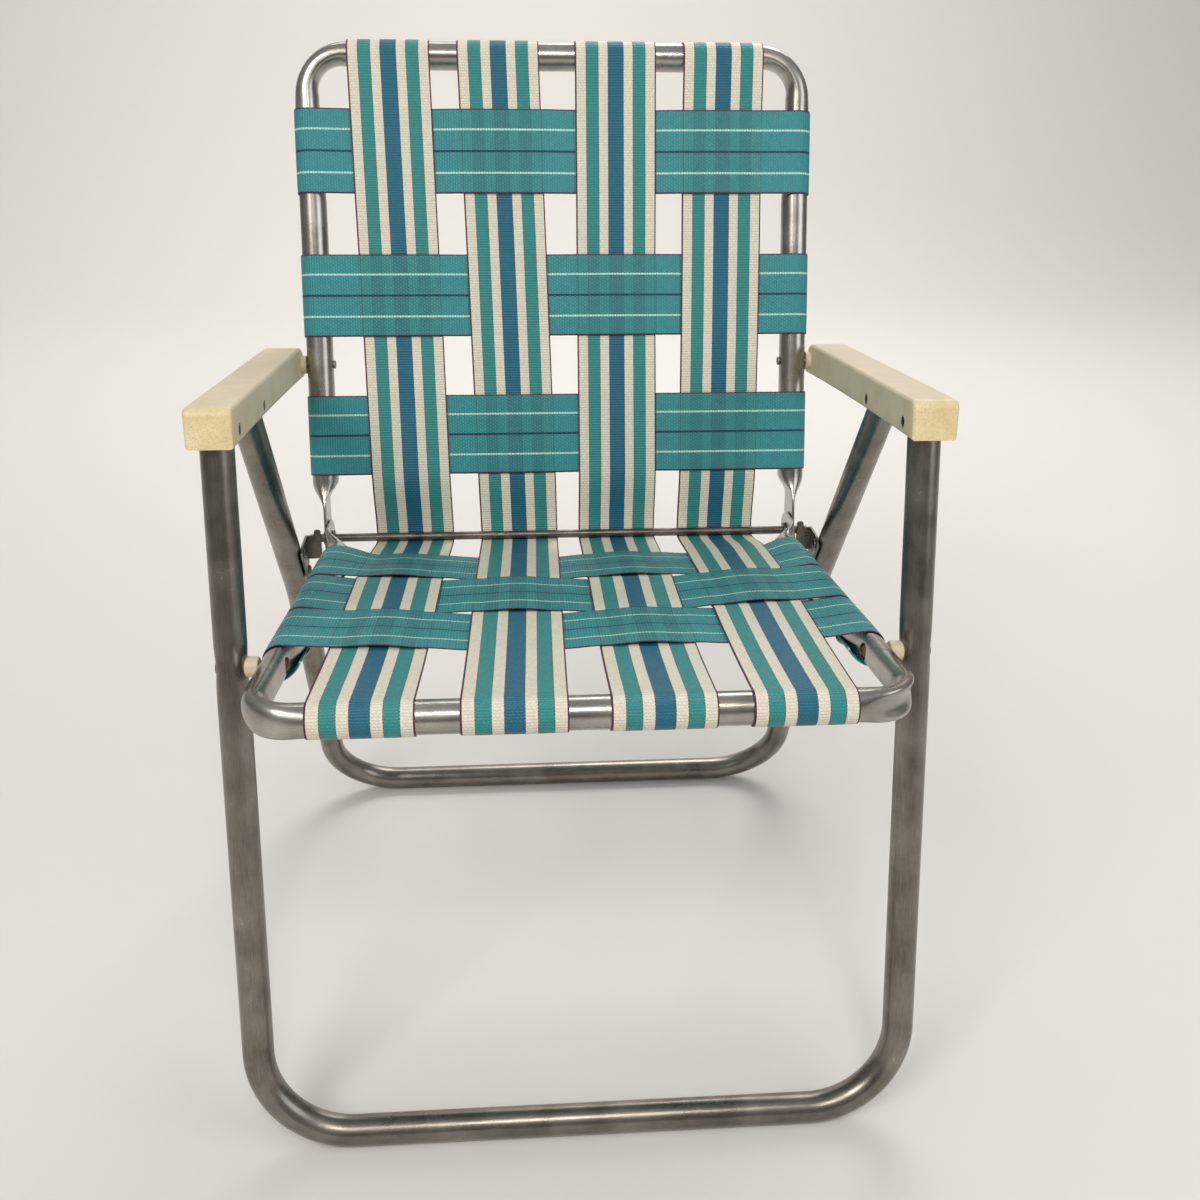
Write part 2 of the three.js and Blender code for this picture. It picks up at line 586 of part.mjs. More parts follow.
// Armrests: moulded channels, open below, with rounded edges, a boss toward the back tube and pads
// round the rivets inside
const armPlace = (point) => {
  const offset = point.clone().sub(ARM_PIVOT);
  return side(offset.dot(alongArm), offset.x * Math.sin(ARM_TILT) + offset.y * Math.cos(ARM_TILT));
};
const ARM_BACK_PLACE = armPlace(BACK_PIVOT);
const ARM_REAR_PLACE = armPlace(REAR_PIVOT);
{
  const front = -ARM_NOSE;
  const rear = ARM_BACK_PLACE.x + ARM_TAIL;
  const top = ARM_TOP_ABOVE_PIVOT;
  const bottom = top - ARM_HEIGHT;
  const outline = (inset, floor) => {
    const shape = new THREE.Shape();
    const [f, r, t] = [front + inset, rear - inset, top - inset];
    const nose = ARM_NOSE_RADIUS - inset;
    const tail = ARM_TAIL_RADIUS - inset;
    shape.moveTo(f, floor);
    shape.lineTo(f, t - nose);
    shape.absarc(f + nose, t - nose, nose, Math.PI, Math.PI / 2, true);
    shape.lineTo(r - tail, t);
    shape.absarc(r - tail, t - tail, tail, Math.PI / 2, 0, true);
    shape.lineTo(r, floor);
    if (inset === 0) shape.quadraticCurveTo((f + r) / 2, floor + 2 * ARM_BOW, f, floor);
    return shape;
  };
  const extrude = (shape, width, bevel) => {
    const geometry = new THREE.ExtrudeGeometry(shape, {
      depth: width - 2 * bevel,
      bevelEnabled: bevel > 0,
      bevelThickness: bevel,
      bevelSize: bevel,
      bevelOffset: -bevel,
      bevelSegments: 2,
      curveSegments: 4,
    });
    geometry.translate(0, 0, bevel - width / 2);
    return solid(geometry.rotateY(Math.PI / 2).rotateX(Math.PI / 2));
  };
  const shell = extrude(outline(0, bottom), ARM_WIDTH, ARM_EDGE).subtract(
    extrude(outline(ARM_WALL, bottom - ARM_HEIGHT), ARM_WIDTH - 2 * ARM_WALL, 0),
  );
  const half = ARM_WIDTH / 2;
  const wallInside = half - ARM_WALL;
  const padReach = TUBE_R + CLEARANCE;
  const overlap = ARM_WALL / 2;
  const pads = [side(0, 0), ARM_REAR_PLACE].map((place) =>
    pinX(PAD_RADIUS, -wallInside - overlap, wallInside + overlap, place.x, place.y).subtract(
      pinX(PAD_RADIUS * 2, -padReach, padReach, place.x, place.y),
    ),
  );
  const rivetHoles = [side(0, 0), ARM_REAR_PLACE].map((place) =>
    pinX(RIVET_RADIUS + CLEARANCE, 0, ARM_WIDTH, place.x, place.y).add(
      pinX(RIVET_TAIL + 2 * CLEARANCE, -ARM_WIDTH, 0, place.x, place.y),
    ),
  );
  const boss = pinX(
    RIVET_HEAD + ARM_PIVOT_PLAY,
    -half - ARM_BOSS + CLEARANCE,
    -wallInside - overlap,
    ARM_BACK_PLACE.x,
    ARM_BACK_PLACE.y,
  );
  const bossHole = pinX(
    RIVET_RADIUS + ARM_PIVOT_PLAY,
    -ARM_WIDTH,
    -wallInside + ARM_WALL,
    ARM_BACK_PLACE.x,
    ARM_BACK_PLACE.y,
  );
  let armrest = shell.add(boss);
  pads.forEach((pad) => {
    armrest = armrest.add(pad);
  });
  [...rivetHoles, bossHole].forEach((cut) => {
    armrest = armrest.subtract(cut);
  });
  for (const [name, sign] of SIDES) {
    const handed = sign > 0 ? armrest : mirrored(armrest);
    add(arms, `armrest_${name}`, handed, ivoryPlastic()).position.x = sign * LEG_HALF;
  }
}

// Rivets and spacers at the pivots
{
  const armHead = LEG_HALF + ARM_WIDTH / 2 + CLEARANCE;
  const armTail = LEG_HALF - TUBE_R - CLEARANCE - RIVET_TAIL_THICK;
  const backHead = ARM_INNER_FACE + ARM_WALL + CLEARANCE;
  const backTail = BACK_HALF - TUBE_R - CLEARANCE - RIVET_TAIL_THICK;
  const seatHead = LEG_HALF + TUBE_R + CLEARANCE;
  const seatBoreSide = Math.sqrt(BORE_R ** 2 - RIVET_TAIL ** 2) - RIVET_TAIL * Math.sin(SEAT_SPLAY);
  const seatTail = SEAT_PIVOT_HALF + seatBoreSide - CLEARANCE - 2 * RIVET_TAIL_THICK;
  const spacerFrom = seatHalfAt(SEAT_PIVOT_TO_ROD + SPACER_RADIUS) + TUBE_R + CLEARANCE;
  const spacer = pinX(SPACER_RADIUS, spacerFrom, LEG_HALF, FRONT_TO_SEAT_PIVOT, 0, TUBE_SIDES)
    .subtract(pinX(RIVET_RADIUS + CLEARANCE, SEAT_PIVOT_HALF, LEG_HALF, FRONT_TO_SEAT_PIVOT, 0))
    .subtract(
      solid(
        new THREE.CylinderGeometry(
          TUBE_R + CLEARANCE,
          TUBE_R + CLEARANCE,
          4 * SPACER_RADIUS,
          TUBE_SIDES,
        ).translate(LEG_HALF, FRONT_TO_SEAT_PIVOT, 0),
      ),
    );
  for (const [name, sign] of SIDES) {
    const pin = (head, tail) =>
      rivet(sign * head, sign * tail, RIVET_RADIUS, RIVET_HEAD, RIVET_TAIL);
    const place = (mesh, y, z) => mesh.position.set(0, y, z);
    add(arms, `arm_front_rivet_${name}`, pin(armHead, armTail), rivetMetal());
    place(
      add(arms, `arm_rear_rivet_${name}`, pin(armHead, armTail), rivetMetal()),
      ARM_REAR_PLACE.x,
      ARM_REAR_PLACE.y,
    );
    place(
      add(back, `arm_back_rivet_${name}`, pin(backHead, backTail), rivetMetal()),
      BACK_TO_ARM_PIVOT,
      0,
    );
    place(
      add(frontLegs, `seat_rivet_${name}`, pin(seatHead, seatTail), rivetMetal()),
      FRONT_TO_SEAT_PIVOT,
      0,
    );
    const handed = sign > 0 ? spacer : mirrored(spacer);
    add(frontLegs, `seat_spacer_${name}`, handed, ivoryPlastic());
  }
}

// Hook brackets: bent steel plates riveted inside the rear legs. A wall with a raised horn stands in
// front of the rod end and a sloping shelf lies under it, so that the rod can leave to the rear.
{
  const hooks = new THREE.Group();
  hooks.position.set(0, ROD.x, ROD.y);
  chair.add(hooks);
  const outer = LEG_HALF - TUBE_R - CLEARANCE;
  const inner = outer - HOOK_WIDTH;
  const wallBack = -ROD_RADIUS - 2 * CLEARANCE;
  const wallFront = wallBack - HOOK_STEEL;
  const plate = (points, fromX, toX) => {
    const shape = new THREE.Shape(points);
    const geometry = new THREE.ExtrudeGeometry(shape, { depth: toX - fromX, bevelEnabled: false });
    geometry.rotateY(Math.PI / 2).rotateX(Math.PI / 2);
    return solid(geometry.translate(fromX, 0, 0));
  };
  const wall = plate(
    [
      side(wallFront, -HOOK_BELOW_ROD),
      side(wallBack, -HOOK_BELOW_ROD),
      side(wallBack, HOOK_ABOVE_ROD),
      side(wallFront, HOOK_ABOVE_ROD),
    ],
    inner,
    outer,
  );
  const horn = plate(
    [
      side(wallFront, 0),
      side(wallBack, 0),
      side(wallBack, HOOK_HORN - HOOK_STEEL),
      side(wallBack - HOOK_STEEL * 0.5, HOOK_HORN),
      side(wallFront, HOOK_HORN - HOOK_STEEL),
    ],
    inner,
    inner + HOOK_HORN_WIDTH,
  );
  const slope = side(Math.cos(HOOK_SHELF_FALL), -Math.sin(HOOK_SHELF_FALL));
  const below = side(-Math.sin(HOOK_SHELF_FALL), -Math.cos(HOOK_SHELF_FALL));
  const seatLine = walk(side(0, 0), below, ROD_RADIUS + 2 * CLEARANCE);
  const shelfStart = walk(seatLine, slope, (wallFront + HOOK_STEEL / 2 - seatLine.x) / slope.x);
  const shelfEnd = walk(seatLine, slope, HOOK_SHELF);
  const shelf = plate(
    [
      shelfStart,
      walk(shelfStart, below, HOOK_STEEL),
      walk(shelfEnd, below, HOOK_STEEL),
      shelfEnd,
    ],
    inner,
    outer,
  );
  const rivetPlaces = HOOK_RIVETS_ALONG.map((along) => walk(REAR_PIVOT, downRear, along).sub(ROD));
  const margin = HOOK_RIVET_MARGIN;
  const ahead = downRear.clone().rotateAround(side(0, 0), -Math.PI / 2);
  const [upper, lower] = rivetPlaces;
  const flange = plate(
    [
      walk(walk(upper, downRear, -margin), ahead, margin),
      walk(walk(lower, downRear, margin), ahead, margin),
      side(wallBack, -HOOK_BELOW_ROD),
      side(wallBack, HOOK_ABOVE_ROD),
      walk(walk(upper, downRear, -margin), ahead, -margin * 0.5),
    ],
    outer - HOOK_STEEL,
    outer,
  );
  const holes = rivetPlaces.map((place) =>
    pinX(HOOK_RIVET_RADIUS + CLEARANCE, inner, LEG_HALF, place.x, place.y),
  );
  let hook = wall.add(horn).add(shelf).add(flange);
  holes.forEach((hole) => {
    hook = hook.subtract(hole);
  });
  const headAt = outer - HOOK_STEEL - CLEARANCE;
  const tailAt = LEG_HALF - TUBE_R + TUBE_WALL + CLEARANCE + 2 * RIVET_TAIL_THICK;
  for (const [name, sign] of SIDES) {
    add(hooks, `rear_hook_${name}`, sign > 0 ? hook : mirrored(hook), darkSteel());
    rivetPlaces.forEach((place, k) => {
      const pin = rivet(
        sign * headAt,
        sign * tailAt,
        HOOK_RIVET_RADIUS,
        2 * HOOK_RIVET_RADIUS,
        HOOK_RIVET_RADIUS,
      );
      const level = k === 0 ? "upper" : "lower";
      const mesh = add(hooks, `hook_rivet_${level}_${name}`, pin, rivetMetal());
      mesh.position.set(0, place.x, place.y);
    });
  }
}

// Webbing: long straps run from the back's top bar, behind the rod, to the seat's front bar, and
// cross straps weave through them. A long strap is cut at the rod, where the chair folds.
{
  const backRows = [0, 1, 2].map((k) => BACK_FIRST_ROW + k * BACK_ROW_PITCH);
  const seatRows = [0, 1, 2].map((k) => SEAT_FIRST_ROW + k * SEAT_ROW_PITCH);
  const foldAngle = Math.acos(alongSeat.dot(alongBack));
  STRAP_X.forEach((x, k) => {
    const number = k + 1;
    const lowerOver = k % 2 === 0;
    const backPart = longStrap(BACK_LENGTH, backRows, lowerOver, foldAngle);
    backPart.rotateX(Math.PI / 2).rotateZ(Math.PI / 2);
    add(back, `back_long_strap_${number}`, backPart, stripedWeb()).position.x = x;
    const seatPart = longStrap(SEAT_LENGTH, seatRows, !lowerOver, foldAngle);
    seatPart.rotateX(Math.PI / 2).rotateZ(Math.PI / 2);
    add(seat, `seat_long_strap_${number}`, seatPart, stripedWeb()).position.x = -x;
  });
  backRows.forEach((y, k) => {
    const piece = crossStrap(backHalfAt, y, k % 2 === 1).rotateX(Math.PI / 2);
    add(back, `back_cross_strap_${3 - k}`, piece, tealWeb()).position.y = y;
  });
  seatRows.forEach((y, k) => {
    const piece = crossStrap(seatHalfAt, y, k % 2 === 1).rotateX(Math.PI / 2);
    add(seat, `seat_cross_strap_${k + 1}`, piece, tealWeb()).position.y = y;
  });
}

// Stand the chair on the floor with its origin under the middle of its box
chair.updateMatrixWorld(true);
const box = new THREE.Box3().setFromObject(chair, true);
chair.position.y = -(box.min.y + box.max.y) / 2;

export default chair;
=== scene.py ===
# Folding webbed lawn chair: bare aluminium tube, aged ivory armrests and striped woven webbing.
# The chair stands open on the floor and faces -Y. Metres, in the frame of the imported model.
import json
import math
from collections import namedtuple

import bmesh
import bpy
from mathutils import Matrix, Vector


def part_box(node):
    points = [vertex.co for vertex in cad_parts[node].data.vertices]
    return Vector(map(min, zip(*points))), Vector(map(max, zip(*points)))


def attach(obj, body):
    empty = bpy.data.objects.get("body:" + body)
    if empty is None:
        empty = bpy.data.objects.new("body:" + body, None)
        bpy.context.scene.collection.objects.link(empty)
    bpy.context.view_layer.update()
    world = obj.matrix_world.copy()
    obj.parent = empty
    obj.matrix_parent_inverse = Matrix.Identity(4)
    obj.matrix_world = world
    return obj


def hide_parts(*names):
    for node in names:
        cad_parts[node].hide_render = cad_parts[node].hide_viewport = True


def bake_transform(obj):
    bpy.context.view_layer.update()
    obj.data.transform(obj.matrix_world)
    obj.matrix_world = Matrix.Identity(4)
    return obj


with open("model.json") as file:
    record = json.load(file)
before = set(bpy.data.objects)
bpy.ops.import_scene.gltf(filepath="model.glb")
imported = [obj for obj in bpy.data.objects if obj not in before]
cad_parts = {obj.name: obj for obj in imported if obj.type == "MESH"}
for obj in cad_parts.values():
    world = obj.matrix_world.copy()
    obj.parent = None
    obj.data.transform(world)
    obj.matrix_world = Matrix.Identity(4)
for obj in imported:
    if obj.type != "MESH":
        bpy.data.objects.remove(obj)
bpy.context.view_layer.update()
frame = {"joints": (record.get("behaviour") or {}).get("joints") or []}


# Front legs: one length of one-inch drawn aluminium tube, bent to a U that stands on its bar. The
# open ends are riveted in the armrests, and the seat's rivet squeezes each leg a little.
MM = 0.001
ACROSS = Vector((1, 0, 0))
TUBE_RADIUS = 12.6 * MM
TUBE_WALL = 1.25 * MM
RING_POINTS = 44
CORNER_STEPS = 22
LEG_STEP = 5 * MM
END_STEPS = 10
END_RUN = 18 * MM
LEG_HALF = 265 * MM
LEG_CORNER = 75 * MM
FRONT_LEAN = math.radians(12.3)
FRONT_BAR_TO_ARM = 577.8 * MM
FRONT_BAR_TO_SEAT = 398.6 * MM
FRONT_LEG_TOP = 9 * MM
RIVET_DIMPLE = 1.1 * MM
DIMPLE_REACH = 11 * MM
DIMPLE_FROM = 0.55
BEND_START = 0.5
BEND_SPREAD = 10 * MM
INNER_PRESS_FROM = 134 * MM
INNER_PRESS_FULL = 96 * MM
SHARP_DEGREES = 38
DRAW_LINE_STRETCH = 60.0
TUBE_PITS = -0.27
TUBE_GRAIN = 0.03 * MM
OXIDE_SPAN = (0.38, 0.62)
PIT_EDGE = 5.0

Plane = namedtuple("Plane", "origin along front")
Station = namedtuple("Station", "centre out front reach bend inner")


def leaning(lean):
    """The direction of a member that leans back from the vertical."""
    return Vector((0, math.sin(lean), math.cos(lean)))


def member_plane(origin, lean, front_sign=1):
    """A member's plane: its line leans back from the vertical, its front is the sitter's side."""
    front = Vector((0, -math.cos(lean), math.sin(lean))) * front_sign
    return Plane(origin, leaning(lean), front)


def spread(start, end, step):
    """Evenly spaced values from start to end, about a step apart."""
    count = max(2, round(abs(end - start) / step))
    return [start + (end - start) * k / count for k in range(count + 1)]


def smooth_share(value, low, high):
    """How far a value is from low (0) to high (1), eased at both ends."""
    share = min(max((value - low) / (high - low), 0.0), 1.0)
    return share * share * (3 - 2 * share)


def u_stations(plane, half_at, bar_at, end_at, corner):
    """Places along a U-shaped tube, from the free end of its left leg to that of its right leg."""
    toward = math.copysign(1, bar_at - end_at)
    splay = math.atan2(half_at(bar_at) - half_at(end_at), abs(bar_at - end_at))
    bend_at = bar_at - toward * corner
    leg_end = bend_at - toward * corner * math.sin(splay)
    bend_half = half_at(leg_end) - corner * math.cos(splay)
    straight = [end_at + toward * END_RUN * (k / END_STEPS) ** 2 for k in range(END_STEPS)]
    straight += spread(end_at + toward * END_RUN, leg_end, LEG_STEP)

    def leg(sign, reach):
        """A place on the straight part of one leg."""
        centre = plane.origin + ACROSS * (sign * half_at(reach)) + plane.along * reach
        press = BEND_START * math.exp(-abs(leg_end - reach) / BEND_SPREAD)
        inner = BEND_START * smooth_share(-abs(bar_at - reach), -INNER_PRESS_FROM, -INNER_PRESS_FULL)
        return Station(centre, ACROSS * sign, plane.front, reach, press, max(press, inner))

    def bend(sign, share):
        """A place in one corner, from the leg (0) to the bar (1)."""
        angle = share * (math.pi / 2 + splay) - splay
        out = ACROSS * (sign * math.cos(angle)) + plane.along * (toward * math.sin(angle))
        middle = ACROSS * (sign * bend_half) + plane.along * bend_at
        press = BEND_START + (1 - BEND_START) * math.sin(math.pi * share)
        return Station(plane.origin + middle + out * corner, out, plane.front, bar_at, press, press)

    def bar(x):
        """A place on the bar."""
        centre = plane.origin + ACROSS * x + plane.along * bar_at
        press = BEND_START * math.exp(-(bend_half - abs(x)) / BEND_SPREAD)
        return Station(centre, plane.along * toward, plane.front, bar_at, press, press)

    shares = [k / CORNER_STEPS for k in range(CORNER_STEPS)]
    return (
        [leg(-1, reach) for reach in straight[:-1]]
        + [bend(-1, share) for share in shares]
        + [bar(x) for x in spread(-bend_half, bend_half, LEG_STEP)]
        + [bend(1, share) for share in reversed(shares)]
        + [leg(1, reach) for reach in reversed(straight[:-1])]
    )


def round_section(radius):
    """A round ring of points, as steps outward and toward the front."""
    turns = [2 * math.pi * k / RING_POINTS for k in range(RING_POINTS)]
    return [(radius * math.cos(turn), radius * math.sin(turn)) for turn in turns]


def ring_at(station, section):
    """A section's points, set in their place on the tube."""
    return [station.centre + station.out * a + station.front * b for a, b in section]


def new_piece(name, points, faces, materials=()):
    """A mesh object that sits at the origin, with its place in its mesh."""
    mesh = bpy.data.meshes.new(name)
    mesh.from_pydata([tuple(point) for point in points], [], faces)
    piece = bpy.data.objects.new(name, mesh)
    bpy.context.scene.collection.objects.link(piece)
    for material in materials:
        mesh.materials.append(material)
    return piece


def shade_smooth(piece, sharp_degrees=SHARP_DEGREES):
    """Shades a piece smooth, but for the edges that turn by more than an angle."""
    piece.data.shade_smooth()
    piece.data.set_sharp_from_angle(angle=math.radians(sharp_degrees))
    return piece


def face_outward(piece, sharp_degrees=SHARP_DEGREES):
    """Turns a closed mesh's faces outward and shades it smooth, with its corners kept sharp."""
    shell = bmesh.new()
    shell.from_mesh(piece.data)
    bmesh.ops.recalc_face_normals(shell, faces=shell.faces)
    shell.to_mesh(piece.data)
    shell.free()
    return shade_smooth(piece, sharp_degrees)


def loft_piece(name, rings, material):
    """A closed skin through rings, with a UV map that runs round and along it in metres."""
    count = len(rings[0])
    points = [point for ring in rings for point in ring]
    runs = [0.0]
    for before, after in zip(rings, rings[1:]):
        middle_step = sum(after, Vector()) / count - sum(before, Vector()) / count
        runs.append(runs[-1] + middle_step.length)
    girth = 2 * math.pi * TUBE_RADIUS
    faces, corners = [], []
    for r in range(len(rings) - 1):
        for k in range(count):
            low, high = r * count, (r + 1) * count
            turn = (k + 1) % count
            faces.append((low + k, low + turn, high + turn, high + k))
            left, right = girth * k / count, girth * (k + 1) / count
            corners += [(left, runs[r]), (right, runs[r]), (right, runs[r + 1]), (left, runs[r + 1])]
    for ring, run in ((0, runs[0]), (len(rings) - 1, runs[-1])):
        faces.append(tuple(ring * count + k for k in range(count)))
        corners += [(girth * k / count, run) for k in range(count)]
    piece = new_piece(name, points, faces, [material])
    along = piece.data.uv_layers.new(name="tube")
    for loop, corner in zip(along.data, corners):
        loop.uv = corner
    return face_outward(piece)


def open_tube(stations, outer_sections):
    """Rings of a tube that is open at both ends and shows its wall there."""
    bore = round_section(TUBE_RADIUS - TUBE_WALL)
    rings = [ring_at(station, section) for station, section in zip(stations, outer_sections)]
    first = [ring_at(stations[k], bore) for k in (END_STEPS, 0)]
    last = [ring_at(stations[k], bore) for k in (-1, -1 - END_STEPS)]
    return first + rings + last


def add_node(tree, kind, inputs=None, **settings):
    """A node with its settings, and with each input set to a value or joined to an output."""
    made = tree.nodes.new(kind)
    for key, value in settings.items():
        setattr(made, key, value)
    for key, value in (inputs or {}).items():
        if isinstance(value, bpy.types.NodeSocket):
            tree.links.new(value, made.inputs[key])
        else:
            made.inputs[key].default_value = value
    return made


def new_group(name, kind, inputs, outputs):
    """A node group and its end nodes. An input is given its kind or, for a number, its usual value."""
    group = bpy.data.node_groups.new(name, kind)
    for label, given in inputs.items():
        number = isinstance(given, float)
        socket = f"NodeSocket{'Float' if number else given}"
        made = group.interface.new_socket(label, in_out="INPUT", socket_type=socket)
        if number:
            made.default_value = given
    for label, given in outputs.items():
        group.interface.new_socket(label, in_out="OUTPUT", socket_type=f"NodeSocket{given}")
    return group, group.nodes.new("NodeGroupInput"), group.nodes.new("NodeGroupOutput")


def put_out(group, result, **values):
    """Joins values to a group's outputs of the same names."""
    for label, value in values.items():
        group.links.new(value, result.inputs[label])


def ramp(tree, factor, stops, interpolation="LINEAR"):
    """A colour ramp from (place, colour) stops."""
    made = add_node(tree, "ShaderNodeValToRGB", {"Fac": factor})
    band = made.color_ramp
    band.interpolation = interpolation
    while len(band.elements) < len(stops):
        band.elements.new(1)
    for element, (place, colour) in zip(band.elements, stops):
        element.position = place
        element.color = (*colour, 1)
    return made.outputs["Color"]


def math_node(tree, operation, a, b=0.0, clamp=False):
    """The result of one sum on two numbers or outputs."""
    made = add_node(tree, "ShaderNodeMath", {0: a, 1: b}, operation=operation, use_clamp=clamp)
    return made.outputs[0]


def weighted_sum(tree, first, first_weight, second, second_weight):
    """Two values added, each times its own weight."""
    weighted = [
        math_node(tree, "MULTIPLY", value, weight)
        for value, weight in ((first, first_weight), (second, second_weight))
    ]
    return math_node(tree, "ADD", *weighted)


def mix_colour(tree, factor, a, b, blend="MIX"):
    """One colour mixed into another by a factor."""
    made = add_node(tree, "ShaderNodeMix", data_type="RGBA", blend_type=blend, clamp_factor=True)
    for key, value in ((0, factor), (6, a), (7, b)):
        if isinstance(value, bpy.types.NodeSocket):
            tree.links.new(value, made.inputs[key])
        else:
            made.inputs[key].default_value = value if key == 0 else (*value, 1)
    return made.outputs[2]


def stretch(tree, factor, low, high):
    """A value from 0 to 1 spread over another range."""
    spans = {"Value": factor, "To Min": low, "To Max": high}
    return add_node(tree, "ShaderNodeMapRange", spans).outputs["Result"]


def noise(tree, vector, scale, detail, roughness=0.55):
    """Cloudy noise from 0 to 1, with its scale in clouds to the metre."""
    sizes = {"Vector": vector, "Scale": scale, "Detail": detail, "Roughness": roughness}
    return add_node(tree, "ShaderNodeTexNoise", sizes).outputs["Fac"]


def worn_metal_group():
    """Draw lines along a metal piece, cloudy oxide, and small pits where the oxide is thick."""
    group, source, result = new_group(
        "worn_metal",
        "ShaderNodeTree",
        {
            "Along": "Vector",
            "Place": "Vector",
            "Line Stretch": DRAW_LINE_STRETCH,
            "Pit Amount": TUBE_PITS,
        },
        {"Shade": "Float", "Dull": "Float", "Height": "Float", "Pits": "Float"},
    )
    place = source.outputs["Place"]
    squeeze = add_node(
        group, "ShaderNodeCombineXYZ", {"X": source.outputs["Line Stretch"], "Y": 1.0, "Z": 1.0}
    )
    lined = add_node(
        group,
        "ShaderNodeVectorMath",
        {0: source.outputs["Along"], 1: squeeze.outputs[0]},
        operation="MULTIPLY",
    )
    lines = noise(group, lined.outputs[0], scale=45.0, detail=4.0, roughness=0.7)
    clouds = noise(group, place, scale=26.0, detail=5.0, roughness=0.6)
    blotches = noise(group, place, scale=7.0, detail=2.0)
    specks = noise(group, place, scale=420.0, detail=2.0)
    rare = math_node(group, "SUBTRACT", 1.0, source.outputs["Pit Amount"])
    over = math_node(group, "SUBTRACT", math_node(group, "ADD", specks, clouds), rare)
    pits = math_node(group, "MULTIPLY", over, PIT_EDGE, clamp=True)
    shade = weighted_sum(group, lines, 0.45, clouds, 0.55)
    dull = weighted_sum(group, clouds, 0.6, blotches, 0.5)
    put_out(group, result, Shade=shade, Dull=dull, Height=lines, Pits=pits)
    return group


worn_metal = worn_metal_group()


def new_material(name):
    """A material with its own surface shader, and its node tree."""
    made = bpy.data.materials.new(name)
    made.use_nodes = True
    return made, made.node_tree, made.node_tree.nodes["Principled BSDF"]


def dress(tree, surface, colour, roughness, height, relief):
    """Gives a surface its colour, its roughness, and a relief from a height between 0 and 1."""
    raised = add_node(tree, "ShaderNodeBump", {"Height": height, "Distance": relief, "Strength": 1.0})
    normal = raised.outputs["Normal"]
    for label, value in (("Base Color", colour), ("Roughness", roughness), ("Normal", normal)):
        tree.links.new(value, surface.inputs[label])


def metal_material(name, bright, dark, pit_colour, rough, pits=TUBE_PITS, grain=TUBE_GRAIN, drawn=True):
    """Metal with oxide and pits, and with draw lines along it where it is drawn tube."""
    made, tree, surface = new_material(name)
    place = add_node(tree, "ShaderNodeTexCoord").outputs["Object"]
    along = add_node(tree, "ShaderNodeUVMap", uv_map="tube").outputs["UV"] if drawn else place
    lines = DRAW_LINE_STRETCH if drawn else 1.0
    given = {"Along": along, "Place": place, "Line Stretch": lines, "Pit Amount": pits}
    wear = add_node(tree, "ShaderNodeGroup", given, node_tree=worn_metal)
    colour = ramp(tree, wear.outputs["Shade"], list(zip(OXIDE_SPAN, (dark, bright))))
    pitted = mix_colour(tree, wear.outputs["Pits"], colour, pit_colour)
    dulled = stretch(tree, wear.outputs["Dull"], *rough)
    dress(tree, surface, pitted, dulled, wear.outputs["Height"], grain)
    surface.inputs["Metallic"].default_value = 1.0
    return made


# Painted shade: this aluminium is partly weathered and partly painted darker than the frame tubes,
# standing in for dark reflections and shade on the legs.
shaded_leg_metal = metal_material(
    "weathered_and_shaded_aluminium_tube",
    bright=(0.31, 0.286, 0.254),
    dark=(0.145, 0.131, 0.114),
    pit_colour=(0.50, 0.475, 0.435),
    rough=(0.16, 0.40),
)


def squeezed_section(station, places):
    """A round section, pressed in on its two sides where a rivet squeezes the tube."""
    press = sum(math.exp(-(((station.reach - place) / DIMPLE_REACH) ** 2)) for place in places)
    section = []
    for a, b in round_section(TUBE_RADIUS):
        side = max(0.0, abs(a) / TUBE_RADIUS - DIMPLE_FROM) / (1 - DIMPLE_FROM)
        section.append((a - math.copysign(RIVET_DIMPLE * press * side**2, a), b))
    return section


def leg_half_at(_):
    """Half the width of both leg frames, which is the same at every place."""
    return LEG_HALF


def fit(piece, body, slot, *nodes):
    """Fits a finished piece to its body, in the place of the model's own solids."""
    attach(piece, body)
    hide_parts(*nodes)


pivot = {joint["name"]: Vector(joint["pos_m"]) for joint in frame["joints"]}
front_bar = pivot["fold"] - leaning(FRONT_LEAN) * FRONT_BAR_TO_ARM
front_plane = member_plane(front_bar, FRONT_LEAN)
front_stations = u_stations(front_plane, leg_half_at, 0, FRONT_BAR_TO_ARM + FRONT_LEG_TOP, LEG_CORNER)
front_sections = [squeezed_section(station, [FRONT_BAR_TO_SEAT]) for station in front_stations]
front_legs = loft_piece("front_leg_tube", open_tube(front_stations, front_sections), shaded_leg_metal)
fit(front_legs, "front_legs", "aluminium_tube", "front_leg_frame")


# Rear legs: the same tube in a second U, whose legs bend forward at the knee so that their open
# ends reach the armrests a hand's width behind the front legs.
REAR_LOWER_LEAN = math.radians(-25)
REAR_UPPER_LEAN = math.radians(-36.2)
REAR_UPPER_LENGTH = 295 * MM
REAR_LEG_TOP = 4 * MM
REAR_BEND = 180 * MM
KNEE_STEPS = 8

rear_up = leaning(REAR_UPPER_LEAN)
knee = pivot["rear_leg_pivot"] - rear_up * REAR_UPPER_LENGTH
rear_low = leaning(REAR_LOWER_LEAN)
REAR_LOWER_LENGTH = (knee.z - front_bar.z) / rear_low.z
rear_plane = member_plane(knee - rear_low * REAR_LOWER_LENGTH, REAR_LOWER_LEAN)
knee_turn = REAR_LOWER_LEAN - REAR_UPPER_LEAN
knee_run = REAR_BEND * math.tan(knee_turn / 2)


